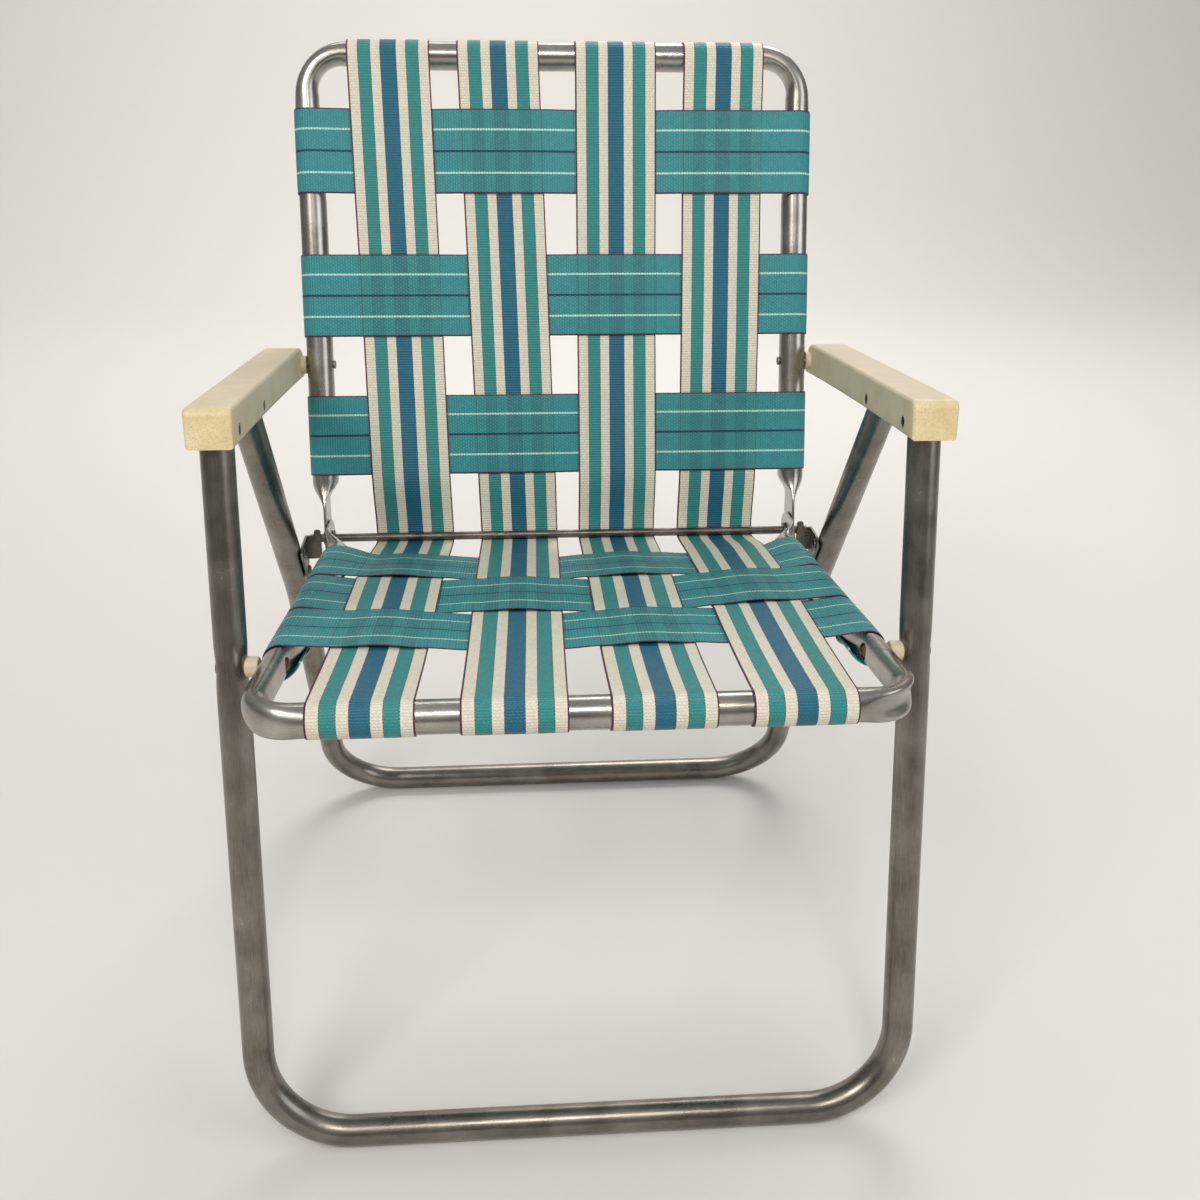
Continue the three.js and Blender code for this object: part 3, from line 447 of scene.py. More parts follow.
def above_knee(sign):
    """Places on one rear leg from its open top down to where the knee's bend begins."""
    side = ACROSS * sign
    upper = member_plane(knee + side * LEG_HALF, REAR_UPPER_LEAN)
    places = [
        Station(upper.origin + upper.along * reach, side, upper.front, reach, 0, 0)
        for reach in spread(REAR_UPPER_LENGTH + REAR_LEG_TOP, knee_run, LEG_STEP)
    ]
    start = rear_plane.origin + side * LEG_HALF + rear_plane.along * (REAR_LOWER_LENGTH - knee_run)
    for turn in spread(knee_turn, 0, knee_turn / KNEE_STEPS)[1:-1]:
        centre = start + rear_plane.along * (REAR_BEND * math.sin(turn))
        centre += rear_plane.front * (REAR_BEND * (1 - math.cos(turn)))
        front = rear_plane.front * math.cos(turn) - rear_plane.along * math.sin(turn)
        places.append(Station(centre, side, front, 0, 0, 0))
    return places


rear_stations = (
    above_knee(-1)
    + u_stations(rear_plane, leg_half_at, 0, REAR_LOWER_LENGTH - knee_run, LEG_CORNER)
    + above_knee(1)[::-1]
)
rear_sections = [round_section(TUBE_RADIUS)] * len(rear_stations)
rear_legs = loft_piece("rear_leg_tube", open_tube(rear_stations, rear_sections), shaded_leg_metal)
fit(rear_legs, "rear_legs", "aluminium_tube", "rear_leg_frame")


# Seat frame and back frame: the same tube in two more Us, with corners so tight that the seat's
# have collapsed, the right one with a dent. The inner sides are flattened near them. The free ends
# are pressed flat, and both pairs are threaded on the cross rod.
SIDES = (("left", -1), ("right", 1))
SEAT_HALF = 224 * MM
SEAT_SPLAY = math.radians(3.7)
SEAT_LENGTH = 396 * MM
SEAT_CORNER = 28 * MM
SEAT_LEAN = math.radians(-90 + 2.46)
SEAT_ROD_TO_PIVOT = 303.3 * MM
BACK_HALF = 230 * MM
BACK_LENGTH = 450 * MM
BACK_CORNER = 36 * MM
BACK_LEAN = math.radians(14.5)
BACK_ROD_TO_ARM = 168 * MM
PLATE_THICK = 2.7 * MM
PLATE_GAP = 0.3 * MM
PLATE_NOSE = 18.6 * MM
PLATE_END = 18.3 * MM
FLAT_UNTIL = 26 * MM
ROUND_FROM = 54 * MM
SEAT_MATE_SPAN = (60 * MM, 88 * MM)
BACK_MATE_SPAN = (36 * MM, 58 * MM)
CRUSHED_OUTER = 0.78
CRUSHED_INNER = 0.2
CRUSHED_HEIGHT = 1.1
CRUSHED_FLAT = 0.5
RIGHT_DENT = 0.55
BACK_CRUSH = 0.55
ACCESS_HOLE = 6.8 * MM
HOLE_FLOOR = 10.5 * MM
LATHE_STEPS = 32
LATHE_SHARP_DEGREES = 30
PLATE_EDGE = 3

# Painted light: the same aluminium as the legs, partly more polished and partly painted lighter, as the
# tubes that catch the lamps.
lit_frame_metal = metal_material(
    "polished_and_lit_aluminium_tube",
    bright=(0.50, 0.475, 0.44),
    dark=(0.28, 0.265, 0.24),
    pit_colour=(0.63, 0.605, 0.565),
    rough=(0.14, 0.38),
)
rod = pivot["back_pivot"]
seat_plane = member_plane(rod, SEAT_LEAN, front_sign=-1)
back_plane = member_plane(rod, BACK_LEAN)


def seat_half_at(reach):
    """Half the seat's width: its rails splay toward the front bar."""
    return SEAT_HALF + (reach - SEAT_LENGTH / 2) * math.tan(SEAT_SPLAY)


def back_half_at(_):
    """Half the back's width, which is the same at every place."""
    return BACK_HALF


def turned_piece(name, profile, centre, material):
    """A piece turned about a line along X, from (x, radius) points; a closed profile makes a ring."""
    closed = profile[0] == profile[-1]
    outline = profile[:-1] if closed else profile
    points, faces = [], []
    for k in range(LATHE_STEPS):
        turn = 2 * math.pi * k / LATHE_STEPS
        for x, radius in outline:
            points.append(centre + Vector((x, radius * math.cos(turn), radius * math.sin(turn))))
    count = len(outline)
    for k in range(LATHE_STEPS):
        here, there = k * count, (k + 1) % LATHE_STEPS * count
        for p in range(count if closed else count - 1):
            q = (p + 1) % count
            faces.append((here + p, here + q, there + q, there + p))
    if not closed:
        faces.append(tuple(k * count for k in range(LATHE_STEPS)))
        faces.append(tuple(k * count + count - 1 for k in range(LATHE_STEPS)))
    return face_outward(new_piece(name, points, faces, [material]), LATHE_SHARP_DEGREES)


def finished_mesh(piece):
    """The piece with its modifiers worked into its mesh and none left on it."""
    graph = bpy.context.evaluated_depsgraph_get()
    mesh = bpy.data.meshes.new_from_object(piece.evaluated_get(graph))
    piece.modifiers.clear()
    old = piece.data
    piece.data = mesh
    bpy.data.meshes.remove(old)
    return piece


def cut_or_join(piece, other, operation):
    """Cuts a shape out of a piece, or joins it on, and removes the shape."""
    step = piece.modifiers.new(operation.lower(), "BOOLEAN")
    step.operation = operation
    step.solver = "EXACT"
    step.object = other
    finished_mesh(piece)
    bpy.data.objects.remove(other)


def crushed_point(a, b, dent):
    """A point of a unit ring where a tight bend has made the tube a tall, thin slab with a dent."""
    if a > 0:
        across = CRUSHED_OUTER * a**CRUSHED_FLAT - dent * (1 - b * b) ** 2
    else:
        across = -CRUSHED_INNER * abs(a) ** CRUSHED_FLAT
    return across, CRUSHED_HEIGHT * b


def pressed_section(station, plate_offset, mate_sign, mate_span, crush, right_dent):
    """The tube's section where its end is pressed flat, where it is round, and where it is crushed."""
    rounding = smooth_share(station.reach, FLAT_UNTIL, ROUND_FROM)
    mate_rounding = smooth_share(station.reach, *mate_span)
    nose = math.sqrt(max(PLATE_NOSE**2 - min(station.reach, 0) ** 2, 0))
    half_width = nose + (TUBE_RADIUS - nose) * rounding
    plate_face = mate_sign * plate_offset + PLATE_THICK / 2
    mate_face = plate_face + (TUBE_RADIUS - plate_face) * mate_rounding
    section = []
    for a, b in round_section(1):
        flat = plate_offset + PLATE_THICK / 2 * min(max(PLATE_EDGE * a, -1), 1)
        bulge = mate_sign * min(mate_sign * TUBE_RADIUS * a, mate_face)
        across, tall = crushed_point(a, b, right_dent if station.centre.x > 0 else 0.0)
        collapse = crush * (station.bend if a > 0 else station.inner)
        body = bulge + (TUBE_RADIUS * across - bulge) * collapse
        height = b + (tall - b) * crush * station.bend
        section.append((flat + (body - flat) * rounding, half_width * height))
    return section


def pressed_frame(name, plane, half_at, length, corner, plate_x, *shaping):
    """A bent tube with flat ends, shaped at each place by what pressed_section takes."""
    rings = []
    for station in u_stations(plane, half_at, length, -PLATE_END, corner):
        plate_offset = plate_x - half_at(station.reach)
        rings.append(ring_at(station, pressed_section(station, plate_offset, *shaping)))
    return loft_piece(name, rings, lit_frame_metal)


seat_plate_x = BACK_HALF - PLATE_THICK - PLATE_GAP
seat_shaping = (1, SEAT_MATE_SPAN, 1.0, RIGHT_DENT)
seat_frame = pressed_frame(
    "seat_tube", seat_plane, seat_half_at, SEAT_LENGTH, SEAT_CORNER, seat_plate_x, *seat_shaping
)
back_shaping = (-1, BACK_MATE_SPAN, BACK_CRUSH, 0.0)
back_frame = pressed_frame(
    "back_tube", back_plane, back_half_at, BACK_LENGTH, BACK_CORNER, BACK_HALF, *back_shaping
)
seat_pivot_half = seat_half_at(SEAT_ROD_TO_PIVOT)
for _, sign in SIDES:
    span = sorted((sign * (seat_pivot_half - 2 * TUBE_RADIUS), sign * (seat_pivot_half + HOLE_FLOOR)))
    drill = turned_piece("drill", [(x, ACCESS_HOLE) for x in span], pivot["seat_pivot"], lit_frame_metal)
    cut_or_join(seat_frame, drill, "DIFFERENCE")
shade_smooth(seat_frame)
fit(seat_frame, "seat", "aluminium_tube", "seat_frame")
fit(back_frame, "back", "aluminium_tube", "back_frame")


# Cross rod: a plain steel rod at the crease, dark with age, that ties seat and back together and
# rests on the hooks. A washer inside and a push-on nut outside hold each pair of flat ends.
ROD_RADIUS = 4 * MM
ROD_HALF = 248.3 * MM
ROD_CHAMFER = 1 * MM
ROD_STEP = 20 * MM
WASHER_RADIUS = 7.5 * MM
NUT_RADIUS = 6.6 * MM
RING_EASE = 0.35 * MM

rod_steel = metal_material(
    "aged_steel_rod",
    bright=(0.23, 0.21, 0.19),
    dark=(0.09, 0.08, 0.07),
    pit_colour=(0.11, 0.06, 0.035),
    rough=(0.26, 0.55),
    pits=-0.12,
    grain=0.10 * MM,
    drawn=False,
)


def ring_profile(low, high, bore, rim, ease=RING_EASE):
    """Half section of a washer-like ring, with eased outer edges."""
    return [
        (low, bore),
        (low, rim - ease),
        (low + ease, rim),
        (high - ease, rim),
        (high, rim - ease),
        (high, bore),
        (low, bore),
    ]


rod_inner = ROD_HALF - 2 * ROD_CHAMFER
rod_profile = [
    (-ROD_HALF, ROD_RADIUS - ROD_CHAMFER),
    (-ROD_HALF + ROD_CHAMFER, ROD_RADIUS),
    *[(x, ROD_RADIUS) for x in spread(-rod_inner, rod_inner, ROD_STEP)],
    (ROD_HALF - ROD_CHAMFER, ROD_RADIUS),
    (ROD_HALF, ROD_RADIUS - ROD_CHAMFER),
]
cross_rod = turned_piece("crease_rod", rod_profile, rod, rod_steel)
fit(cross_rod, "seat", "dark_steel", "cross_rod")
for side, _ in SIDES:
    for kind, rim in (("washer", WASHER_RADIUS), ("nut", NUT_RADIUS)):
        low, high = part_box(f"rod_{kind}_{side}")
        profile = ring_profile(low.x, high.x, ROD_RADIUS, rim)
        piece = turned_piece(f"crease_{kind}_{side}", profile, Vector((0, *rod.yz)), rod_steel)
        fit(piece, "seat", "dark_steel", f"rod_{kind}_{side}")


# Hook brackets: dark steel strips riveted to the inner sides of the rear legs. A wall with a horn
# stands in front of the rod end, and under it a sloping shelf carries the seat of the open chair.
HOOK_STEEL = 2.4 * MM
HOOK_WIDTH = 15.5 * MM
HOOK_OUTER = 252 * MM
HOOK_BELOW_ROD = 19 * MM
HOOK_ABOVE_ROD = 5 * MM
HOOK_HORN = 11 * MM
HOOK_HORN_WIDTH = 6.5 * MM
HOOK_SHELF = 13 * MM
HOOK_SHELF_FALL = math.radians(41)
HOOK_ROD_GAP = 0.6 * MM
HOOK_RIVET_PITCH = 30 * MM
HOOK_MARGIN = 7.7 * MM
HOOK_EASE = 0.5 * MM
HOOK_EASE_STEPS = 3
HOOK_TOE = 7 * MM
HOOK_TIP = 3 * MM
EASE_STEPS = 6


def eased_outline(corners):
    """An outline whose corners are (point, ease): each is a curve that begins that far from it."""
    outline = []
    for k, (corner, ease) in enumerate(corners):
        middle = Vector(corner)
        start = middle + (Vector(corners[k - 1][0]) - middle).normalized() * ease
        end = middle + (Vector(corners[(k + 1) % len(corners)][0]) - middle).normalized() * ease
        for step in range(EASE_STEPS + 1 if ease else 1):
            share = step / EASE_STEPS
            bent = start.lerp(middle, share).lerp(middle.lerp(end, share), share)
            outline.append(tuple(bent))
    return outline


def block_faces(count):
    """Faces of a block whose two ends have count points each, the second end's after the first's."""
    faces = [tuple(range(count)), tuple(range(count, 2 * count))]
    return faces + [(k, (k + 1) % count, count + (k + 1) % count, count + k) for k in range(count)]


def plate_points(outline, low, high, front_view):
    """Points of a flat plate: an outline in the front or side view, given a thickness."""
    points = []
    for depth in (low, high):
        for a, b in outline:
            points.append(Vector((a, depth, b)) if front_view else Vector((depth, a, b)))
    return points


def side_point(base, direction, length):
    """A point of the side view, a length away from a base in a direction."""
    return (base[0] + direction[0] * length, base[1] + direction[1] * length)


rear_down = (-rear_up.y, -rear_up.z)
rod_along_rear = (rod - pivot["rear_leg_pivot"]).dot(-rear_up)
hook_rivet_places = [
    pivot["rear_leg_pivot"] - rear_up * (rod_along_rear + step * HOOK_RIVET_PITCH)
    for step in (-0.5, 0.5)
]


def hook_plates():
    """Outlines of the right hook's wall, shelf and flange, each with its thickness and its view."""
    inner, outer = HOOK_OUTER - HOOK_WIDTH, HOOK_OUTER
    wall_back = rod.y - ROD_RADIUS - HOOK_ROD_GAP
    wall_front = wall_back - HOOK_STEEL
    low, high, tip = rod.z - HOOK_BELOW_ROD, rod.z + HOOK_ABOVE_ROD, rod.z + HOOK_HORN
    wall = [
        ((outer, low), 0.0),
        ((inner, low), HOOK_TOE),
        ((inner, tip), HOOK_TIP),
        ((inner + HOOK_HORN_WIDTH, tip), HOOK_TIP),
        ((inner + HOOK_HORN_WIDTH, high), HOOK_TIP),
        ((outer, high), 0.0),
    ]
    slope = (math.cos(HOOK_SHELF_FALL), -math.sin(HOOK_SHELF_FALL))
    below = (-math.sin(HOOK_SHELF_FALL), -math.cos(HOOK_SHELF_FALL))
    under_rod = side_point((rod.y, rod.z), below, ROD_RADIUS + HOOK_ROD_GAP)
    start = side_point(under_rod, slope, (wall_front + HOOK_STEEL / 2 - under_rod[0]) / slope[0])
    end = side_point(under_rod, slope, HOOK_SHELF)
    shelf = [start, side_point(start, below, HOOK_STEEL), side_point(end, below, HOOK_STEEL), end]
    upper, lower = [(place.y, place.z) for place in hook_rivet_places]
    ahead = (rear_down[1], -rear_down[0])
    top = side_point(upper, rear_down, -HOOK_MARGIN)
    bottom = side_point(lower, rear_down, HOOK_MARGIN)
    flange = [
        (side_point(top, ahead, HOOK_MARGIN), HOOK_TIP),
        (side_point(bottom, ahead, HOOK_MARGIN), HOOK_TIP),
        ((wall_back, low), 0.0),
        ((wall_back, high), 0.0),
        (side_point(top, ahead, -HOOK_MARGIN / 2), HOOK_TIP),
    ]
    return [
        (eased_outline(wall), wall_front, wall_back, True),
        (shelf, inner + HOOK_TIP, outer, False),
        (eased_outline(flange), outer - HOOK_STEEL, outer, False),
    ]


for side, sign in SIDES:
    points, faces = [], []
    for outline, *layout in hook_plates():
        faces += [tuple(len(points) + k for k in face) for face in block_faces(len(outline))]
        points += [Vector((sign * point.x, *point.yz)) for point in plate_points(outline, *layout)]
    hook = face_outward(new_piece(f"rod_hook_{side}", points, faces, [rod_steel]))
    ease = hook.modifiers.new("eased_edges", "BEVEL")
    ease.width = HOOK_EASE
    ease.segments = HOOK_EASE_STEPS
    fit(finished_mesh(hook), "rear_legs", "dark_steel", f"rear_hook_{side}")


# Armrests: ivory moulded channels, open below, aged to a mottled cream with speckled front ends.
# Each is riveted over the leg tops, and a boss on the inner side of its rear end meets the back tube.
ARM_TILT = math.radians(5.4)
ARM_WIDTH = 35 * MM
ARM_HEIGHT = 30 * MM
ARM_WALL = 2.6 * MM
ARM_NOSE = 25 * MM
ARM_TAIL = 15 * MM
ARM_TOP = 20.2 * MM
ARM_NOSE_RADIUS = 6 * MM
ARM_TAIL_RADIUS = 21 * MM
ARM_NOSE_STEPS = 8
ARM_TAIL_STEPS = 14
ARM_EDGE = 3 * MM
ARM_EDGE_STEPS = 6
ARM_SHARP_DEGREES = 35
ARM_BOW = 1.8 * MM
BOW_STEP = 0.1
ARM_BOSS = 4.5 * MM
ARM_BOSS_RADIUS = 8.7 * MM
ARM_RECESS_RADIUS = 4.8 * MM
NOSE_AGED_AND_LIT = (14 * MM, 2 * MM)
NOSE_YELLOWING_AND_LIGHT = 0.9
NOSE_SPECKS = 0.15
SPECK_LEVEL = 1.10
SPECK_EDGE = 3.5
SPECK_DEPTH = 0.38
MOTTLE_SPAN = (0.3, 0.66)
# The nose tones are partly yellowing and partly painted light: lighter and warmer, as a warm light from
# the front shows them.
BODY_IVORY = ((0.585, 0.505, 0.345), (0.69, 0.61, 0.445))
YELLOWED_AND_LIT_NOSE_IVORY = ((0.71, 0.565, 0.285), (0.84, 0.715, 0.44))
SPECK_BROWN = (0.42, 0.30, 0.14)
IVORY_ROUGH = (0.34, 0.56)
IVORY_GRAIN = 0.05 * MM

arm_along = Vector((0, math.cos(ARM_TILT), -math.sin(ARM_TILT)))
arm_up = Vector((0, math.sin(ARM_TILT), math.cos(ARM_TILT)))
arm_front = pivot["fold"]
back_pivot_point = rod + back_plane.along * BACK_ROD_TO_ARM
arm_rear_run = (back_pivot_point - arm_front).dot(arm_along)


def arc(centre, radius, start, end, steps):
    """Points of an arc in a flat outline, with its angles in degrees."""
    turns = [math.radians(start + (end - start) * k / steps) for k in range(steps + 1)]
    return [(centre[0] + radius * math.cos(t), centre[1] + radius * math.sin(t)) for t in turns]


def arm_outline(inset, floor_drop=0.0):
    """The armrest's side view as (along, up) from the front pivot, drawn in by an inset."""
    front, rear = -ARM_NOSE + inset, arm_rear_run + ARM_TAIL - inset
    top, bottom = ARM_TOP - inset, ARM_TOP - ARM_HEIGHT - floor_drop
    nose, tail = ARM_NOSE_RADIUS - inset, ARM_TAIL_RADIUS - inset
    outline = [(front, bottom)]
    outline += arc((front + nose, top - nose), nose, 180, 90, ARM_NOSE_STEPS)
    outline += arc((rear - tail, top - tail), tail, 90, 0, ARM_TAIL_STEPS)
    outline.append((rear, bottom))
    if not floor_drop:
        for share in spread(1 - BOW_STEP, BOW_STEP, BOW_STEP):
            bowed = bottom + ARM_BOW * 4 * share * (1 - share)
            outline.append((front + (rear - front) * share, bowed))
    return outline


def arm_block(name, outline, half, centre_x):
    """A block with the outline as its side view, as wide as twice half."""
    points = [
        arm_front + ACROSS * (centre_x + x) + arm_along * run + arm_up * rise
        for x in (-half, half)
        for run, rise in outline
    ]
    return face_outward(new_piece(name, points, block_faces(len(outline)), [ivory]))


def aged_plastic_group():
    """Mottled yellowing, dark specks and a fine moulded grain."""
    group, source, result = new_group(
        "aged_plastic",
        "ShaderNodeTree",
        {"Place": "Vector", "Speck Amount": NOSE_SPECKS},
        {"Mottle": "Float", "Specks": "Float", "Grain": "Float"},
    )
    place = source.outputs["Place"]
    mottle = noise(group, place, scale=34.0, detail=6.0, roughness=0.62)
    fine = noise(group, place, scale=1500.0, detail=3.0, roughness=0.6)
    coarse = noise(group, place, scale=520.0, detail=3.0, roughness=0.6)
    level = math_node(group, "SUBTRACT", SPECK_LEVEL, source.outputs["Speck Amount"])
    above = math_node(group, "SUBTRACT", math_node(group, "ADD", fine, coarse), level)
    specks = math_node(group, "MULTIPLY", above, SPECK_EDGE, clamp=True)
    put_out(group, result, Mottle=mottle, Specks=specks, Grain=fine)
    return group


aged_plastic = aged_plastic_group()


def ivory_material():
    """Ivory plastic: mottled all over; speckled on the front ends, which are yellower and also painted
    lighter, as a warm light from the front shows them.
    """
    made, tree, surface = new_material("aged_ivory_plastic")
    place = add_node(tree, "ShaderNodeTexCoord").outputs["Object"]
    apart = add_node(tree, "ShaderNodeSeparateXYZ", {0: place})
    start, full = [arm_front.y - ARM_NOSE + run for run in NOSE_AGED_AND_LIT]
    nose_span = {"Value": apart.outputs["Y"], "From Min": start, "From Max": full}
    toward_nose = add_node(tree, "ShaderNodeMapRange", nose_span).outputs["Result"]
    upper = math_node(tree, "GREATER_THAN", apart.outputs["Z"], arm_front.z - ARM_HEIGHT)
    on_nose = math_node(tree, "MULTIPLY", toward_nose, upper)
    speckled = stretch(tree, on_nose, 0.0, NOSE_SPECKS)
    given = {"Place": place, "Speck Amount": speckled}
    age = add_node(tree, "ShaderNodeGroup", given, node_tree=aged_plastic)
    mottle = age.outputs["Mottle"]
    body, nose = [
        ramp(tree, mottle, list(zip(MOTTLE_SPAN, tones))) for tones in (BODY_IVORY, YELLOWED_AND_LIT_NOSE_IVORY)
    ]
    # Painted light: the front ends are mixed to the lighter, warmer nose tones, partly yellowing and
    # partly light from the front.
    aged_and_lit = mix_colour(tree, stretch(tree, on_nose, 0.0, NOSE_YELLOWING_AND_LIGHT), body, nose)
    dirty = mix_colour(tree, stretch(tree, age.outputs["Specks"], 0.0, SPECK_DEPTH), aged_and_lit, SPECK_BROWN)
    dress(tree, surface, dirty, stretch(tree, mottle, *IVORY_ROUGH), age.outputs["Grain"], IVORY_GRAIN)
    return made


ivory = ivory_material()
for side, sign in SIDES:
    centre_x = sign * LEG_HALF
    armrest = arm_block(f"armrest_channel_{side}", arm_outline(0.0), ARM_WIDTH / 2, centre_x)
    shell = bmesh.new()
    shell.from_mesh(armrest.data)
    rims = [edge for edge in shell.edges if abs(edge.verts[0].co.x - edge.verts[1].co.x) < MM]
    bmesh.ops.bevel(
        shell, geom=rims, offset=ARM_EDGE, segments=ARM_EDGE_STEPS, profile=0.5, affect="EDGES"
    )
    shell.to_mesh(armrest.data)
    shell.free()
    hollow = arm_block("hollow", arm_outline(ARM_WALL, ARM_HEIGHT), ARM_WIDTH / 2 - ARM_WALL, centre_x)
    cut_or_join(armrest, hollow, "DIFFERENCE")
    inner_face = centre_x - sign * ARM_WIDTH / 2
    boss_span = sorted((inner_face - sign * ARM_BOSS, inner_face + sign * ARM_WALL / 2))
    boss_profile = [(x, ARM_BOSS_RADIUS) for x in boss_span]
    boss = turned_piece("boss", boss_profile, Vector((0, *back_pivot_point.yz)), ivory)
    cut_or_join(armrest, boss, "UNION")
    recess_span = sorted((inner_face - sign * ARM_WALL, inner_face + sign * 2 * ARM_WALL))
    recess_profile = [(x, ARM_RECESS_RADIUS) for x in recess_span]
    for place in (arm_front, pivot["rear_leg_pivot"]):
        recess = turned_piece("recess", recess_profile, Vector((0, *place.yz)), ivory)
        cut_or_join(armrest, recess, "DIFFERENCE")
    shade_smooth(armrest, ARM_SHARP_DEGREES)
    flatten = armrest.modifiers.new("flat_faces", "WEIGHTED_NORMAL")
    flatten.keep_sharp = True
    fit(finished_mesh(armrest), "arms", "ivory_plastic", f"armrest_{side}")


# Seat spacers: short sleeves of the same ivory plastic, threaded on the seat rivets. They sit
# against the front legs and keep the seat rails clear of them.
SPACER_RADIUS = 8 * MM
SPACER_EASE = 0.8 * MM
RIVET_RADIUS = 3 * MM

for side, _ in SIDES:
    low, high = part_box(f"seat_spacer_{side}")
    profile = ring_profile(low.x, high.x, RIVET_RADIUS, SPACER_RADIUS, SPACER_EASE)
    spacer = turned_piece(f"seat_sleeve_{side}", profile, Vector((0, *pivot["seat_pivot"].yz)), ivory)
    fit(spacer, "front_legs", "ivory_plastic", f"seat_spacer_{side}")


# Rivets: semi-tubular steel rivets with a domed head on one side and a rolled hollow tail on the
# other. They pin armrests, legs, seat and back together and hold the hooks.
RIVET_HEAD = 6.5 * MM
RIVET_DOME = 2.4 * MM
FLUSH_HEAD = 4.6 * MM
FLUSH_DOME = 0.6 * MM
RIVET_ROLL = 0.9 * MM
ARM_TAIL_OUT = 2.8 * MM
SEAT_HEAD_SUNK = 1.5 * MM
SEAT_ROLL = 2.0 * MM
SEAT_TAIL_FACE = 7.0 * MM
TAIL_BORE = 0.7
TAIL_DEPTH = 4 * MM
HOOK_RIVET_RADIUS = 2.4 * MM
HOOK_RIVET_HEAD = 4.8 * MM
HOOK_ROLL = 0.6 * MM
RIVET_LENGTH = 30 * MM
ROLL_OUTSET = 0.25
ROUND_STEPS = 28
DOME_RINGS = 16
SHANK_STEPS = 24
ROLL_STEPS = 12
BASE_LEVEL = -1e-6
MERGE_DISTANCE = 1e-5

rivet_steel = metal_material(
    "dull_rivet_steel",
    bright=(0.46, 0.44, 0.41),
    dark=(0.24, 0.22, 0.20),
    pit_colour=(0.15, 0.08, 0.045),
    rough=(0.25, 0.50),
    pits=-0.10,
    grain=0.08 * MM,
    drawn=False,
)
rusted_steel = metal_material(
    "rusted_rivet_steel",
    bright=(0.30, 0.17, 0.10),
    dark=(0.13, 0.065, 0.035),
    pit_colour=(0.26, 0.10, 0.035),
    rough=(0.45, 0.75),
    pits=0.05,
    grain=0.12 * MM,
    drawn=False,
)


def joined_nodes(tree, parts):
    """Several geometries as one."""
    made = tree.nodes.new("GeometryNodeJoinGeometry")
    for part in parts:
        tree.links.new(part, made.inputs[0])
    return made.outputs[0]


def moved(tree, geometry, lift=None, scale=None):
    """Geometry raised along its own axis, or scaled along it."""
    made = add_node(tree, "GeometryNodeTransform", {"Geometry": geometry})
    for key, value, still in (("Translation", lift, 0.0), ("Scale", scale, 1.0)):
        if value is not None:
            amounts = add_node(tree, "ShaderNodeCombineXYZ", {"X": still, "Y": still, "Z": value})
            tree.links.new(amounts.outputs[0], made.inputs[key])
    return made.outputs[0]


def dome_nodes(tree, radius, height):
    """A closed dome on a round base, from the upper half of a sphere."""
    sphere = {"Segments": ROUND_STEPS, "Rings": DOME_RINGS, "Radius": radius}
    ball = add_node(tree, "GeometryNodeMeshUVSphere", sphere).outputs["Mesh"]
    place = add_node(tree, "GeometryNodeInputPosition").outputs[0]
    level = add_node(tree, "ShaderNodeSeparateXYZ", {0: place}).outputs["Z"]
    limit = {"A": level, "B": BASE_LEVEL}
    under = add_node(tree, "FunctionNodeCompare", limit, operation="LESS_THAN").outputs[0]
    cut = {"Geometry": ball, "Selection": under}
    half = add_node(tree, "GeometryNodeDeleteGeometry", cut, domain="POINT").outputs[0]
    disc = {"Vertices": ROUND_STEPS, "Radius": radius}
    base = add_node(tree, "GeometryNodeMeshCircle", disc, fill_type="NGON").outputs[0]
    facing_down = add_node(tree, "GeometryNodeFlipFaces", {"Mesh": base}).outputs[0]
    seam = {"Geometry": joined_nodes(tree, [half, facing_down]), "Distance": MERGE_DISTANCE}
    closed = add_node(tree, "GeometryNodeMergeByDistance", seam).outputs[0]
    return moved(tree, closed, scale=math_node(tree, "DIVIDE", height, radius))


def cylinder_nodes(tree, steps, radius, depth):
    """A cylinder about its own axis, with its middle at the origin."""
    sizes = {"Vertices": steps, "Radius": radius, "Depth": depth}
    return add_node(tree, "GeometryNodeMeshCylinder", sizes).outputs["Mesh"]


def cut_nodes(tree, geometry, cutter):
    """Geometry with a cutter's shape taken out of it."""
    meshes = {"Mesh 1": geometry, "Mesh 2": cutter}
    return add_node(tree, "GeometryNodeMeshBoolean", meshes, operation="DIFFERENCE").outputs[0]


def circle_nodes(tree, steps, radius):
    """A round curve."""
    sizes = {"Resolution": steps, "Radius": radius}
    return add_node(tree, "GeometryNodeCurvePrimitiveCircle", sizes).outputs["Curve"]


def fastener_tree(name, sizes, shape):
    """A tree that puts one fastener, built by shape(tree, sizes), on each point, along its facing."""
    tree, source, result = new_group(
        name,
        "GeometryNodeTree",
        {"Places": "Geometry", **sizes, "Finish": "Material"},
        {"Fasteners": "Geometry"},
    )
    made = shape(tree, source.outputs)
    facing = add_node(
        tree, "GeometryNodeInputNamedAttribute", {"Name": "facing"}, data_type="FLOAT_VECTOR"
    ).outputs[0]
    turn = add_node(tree, "FunctionNodeAlignRotationToVector", {"Vector": facing}, axis="Z").outputs[0]
    layout = {"Points": source.outputs["Places"], "Instance": made, "Rotation": turn}
    copies = add_node(tree, "GeometryNodeInstanceOnPoints", layout).outputs[0]
    plain = add_node(tree, "GeometryNodeRealizeInstances", {"Geometry": copies}).outputs[0]
    coat = {"Geometry": plain, "Material": source.outputs["Finish"]}
    put_out(tree, result, Fasteners=add_node(tree, "GeometryNodeSetMaterial", coat).outputs[0])
    return tree


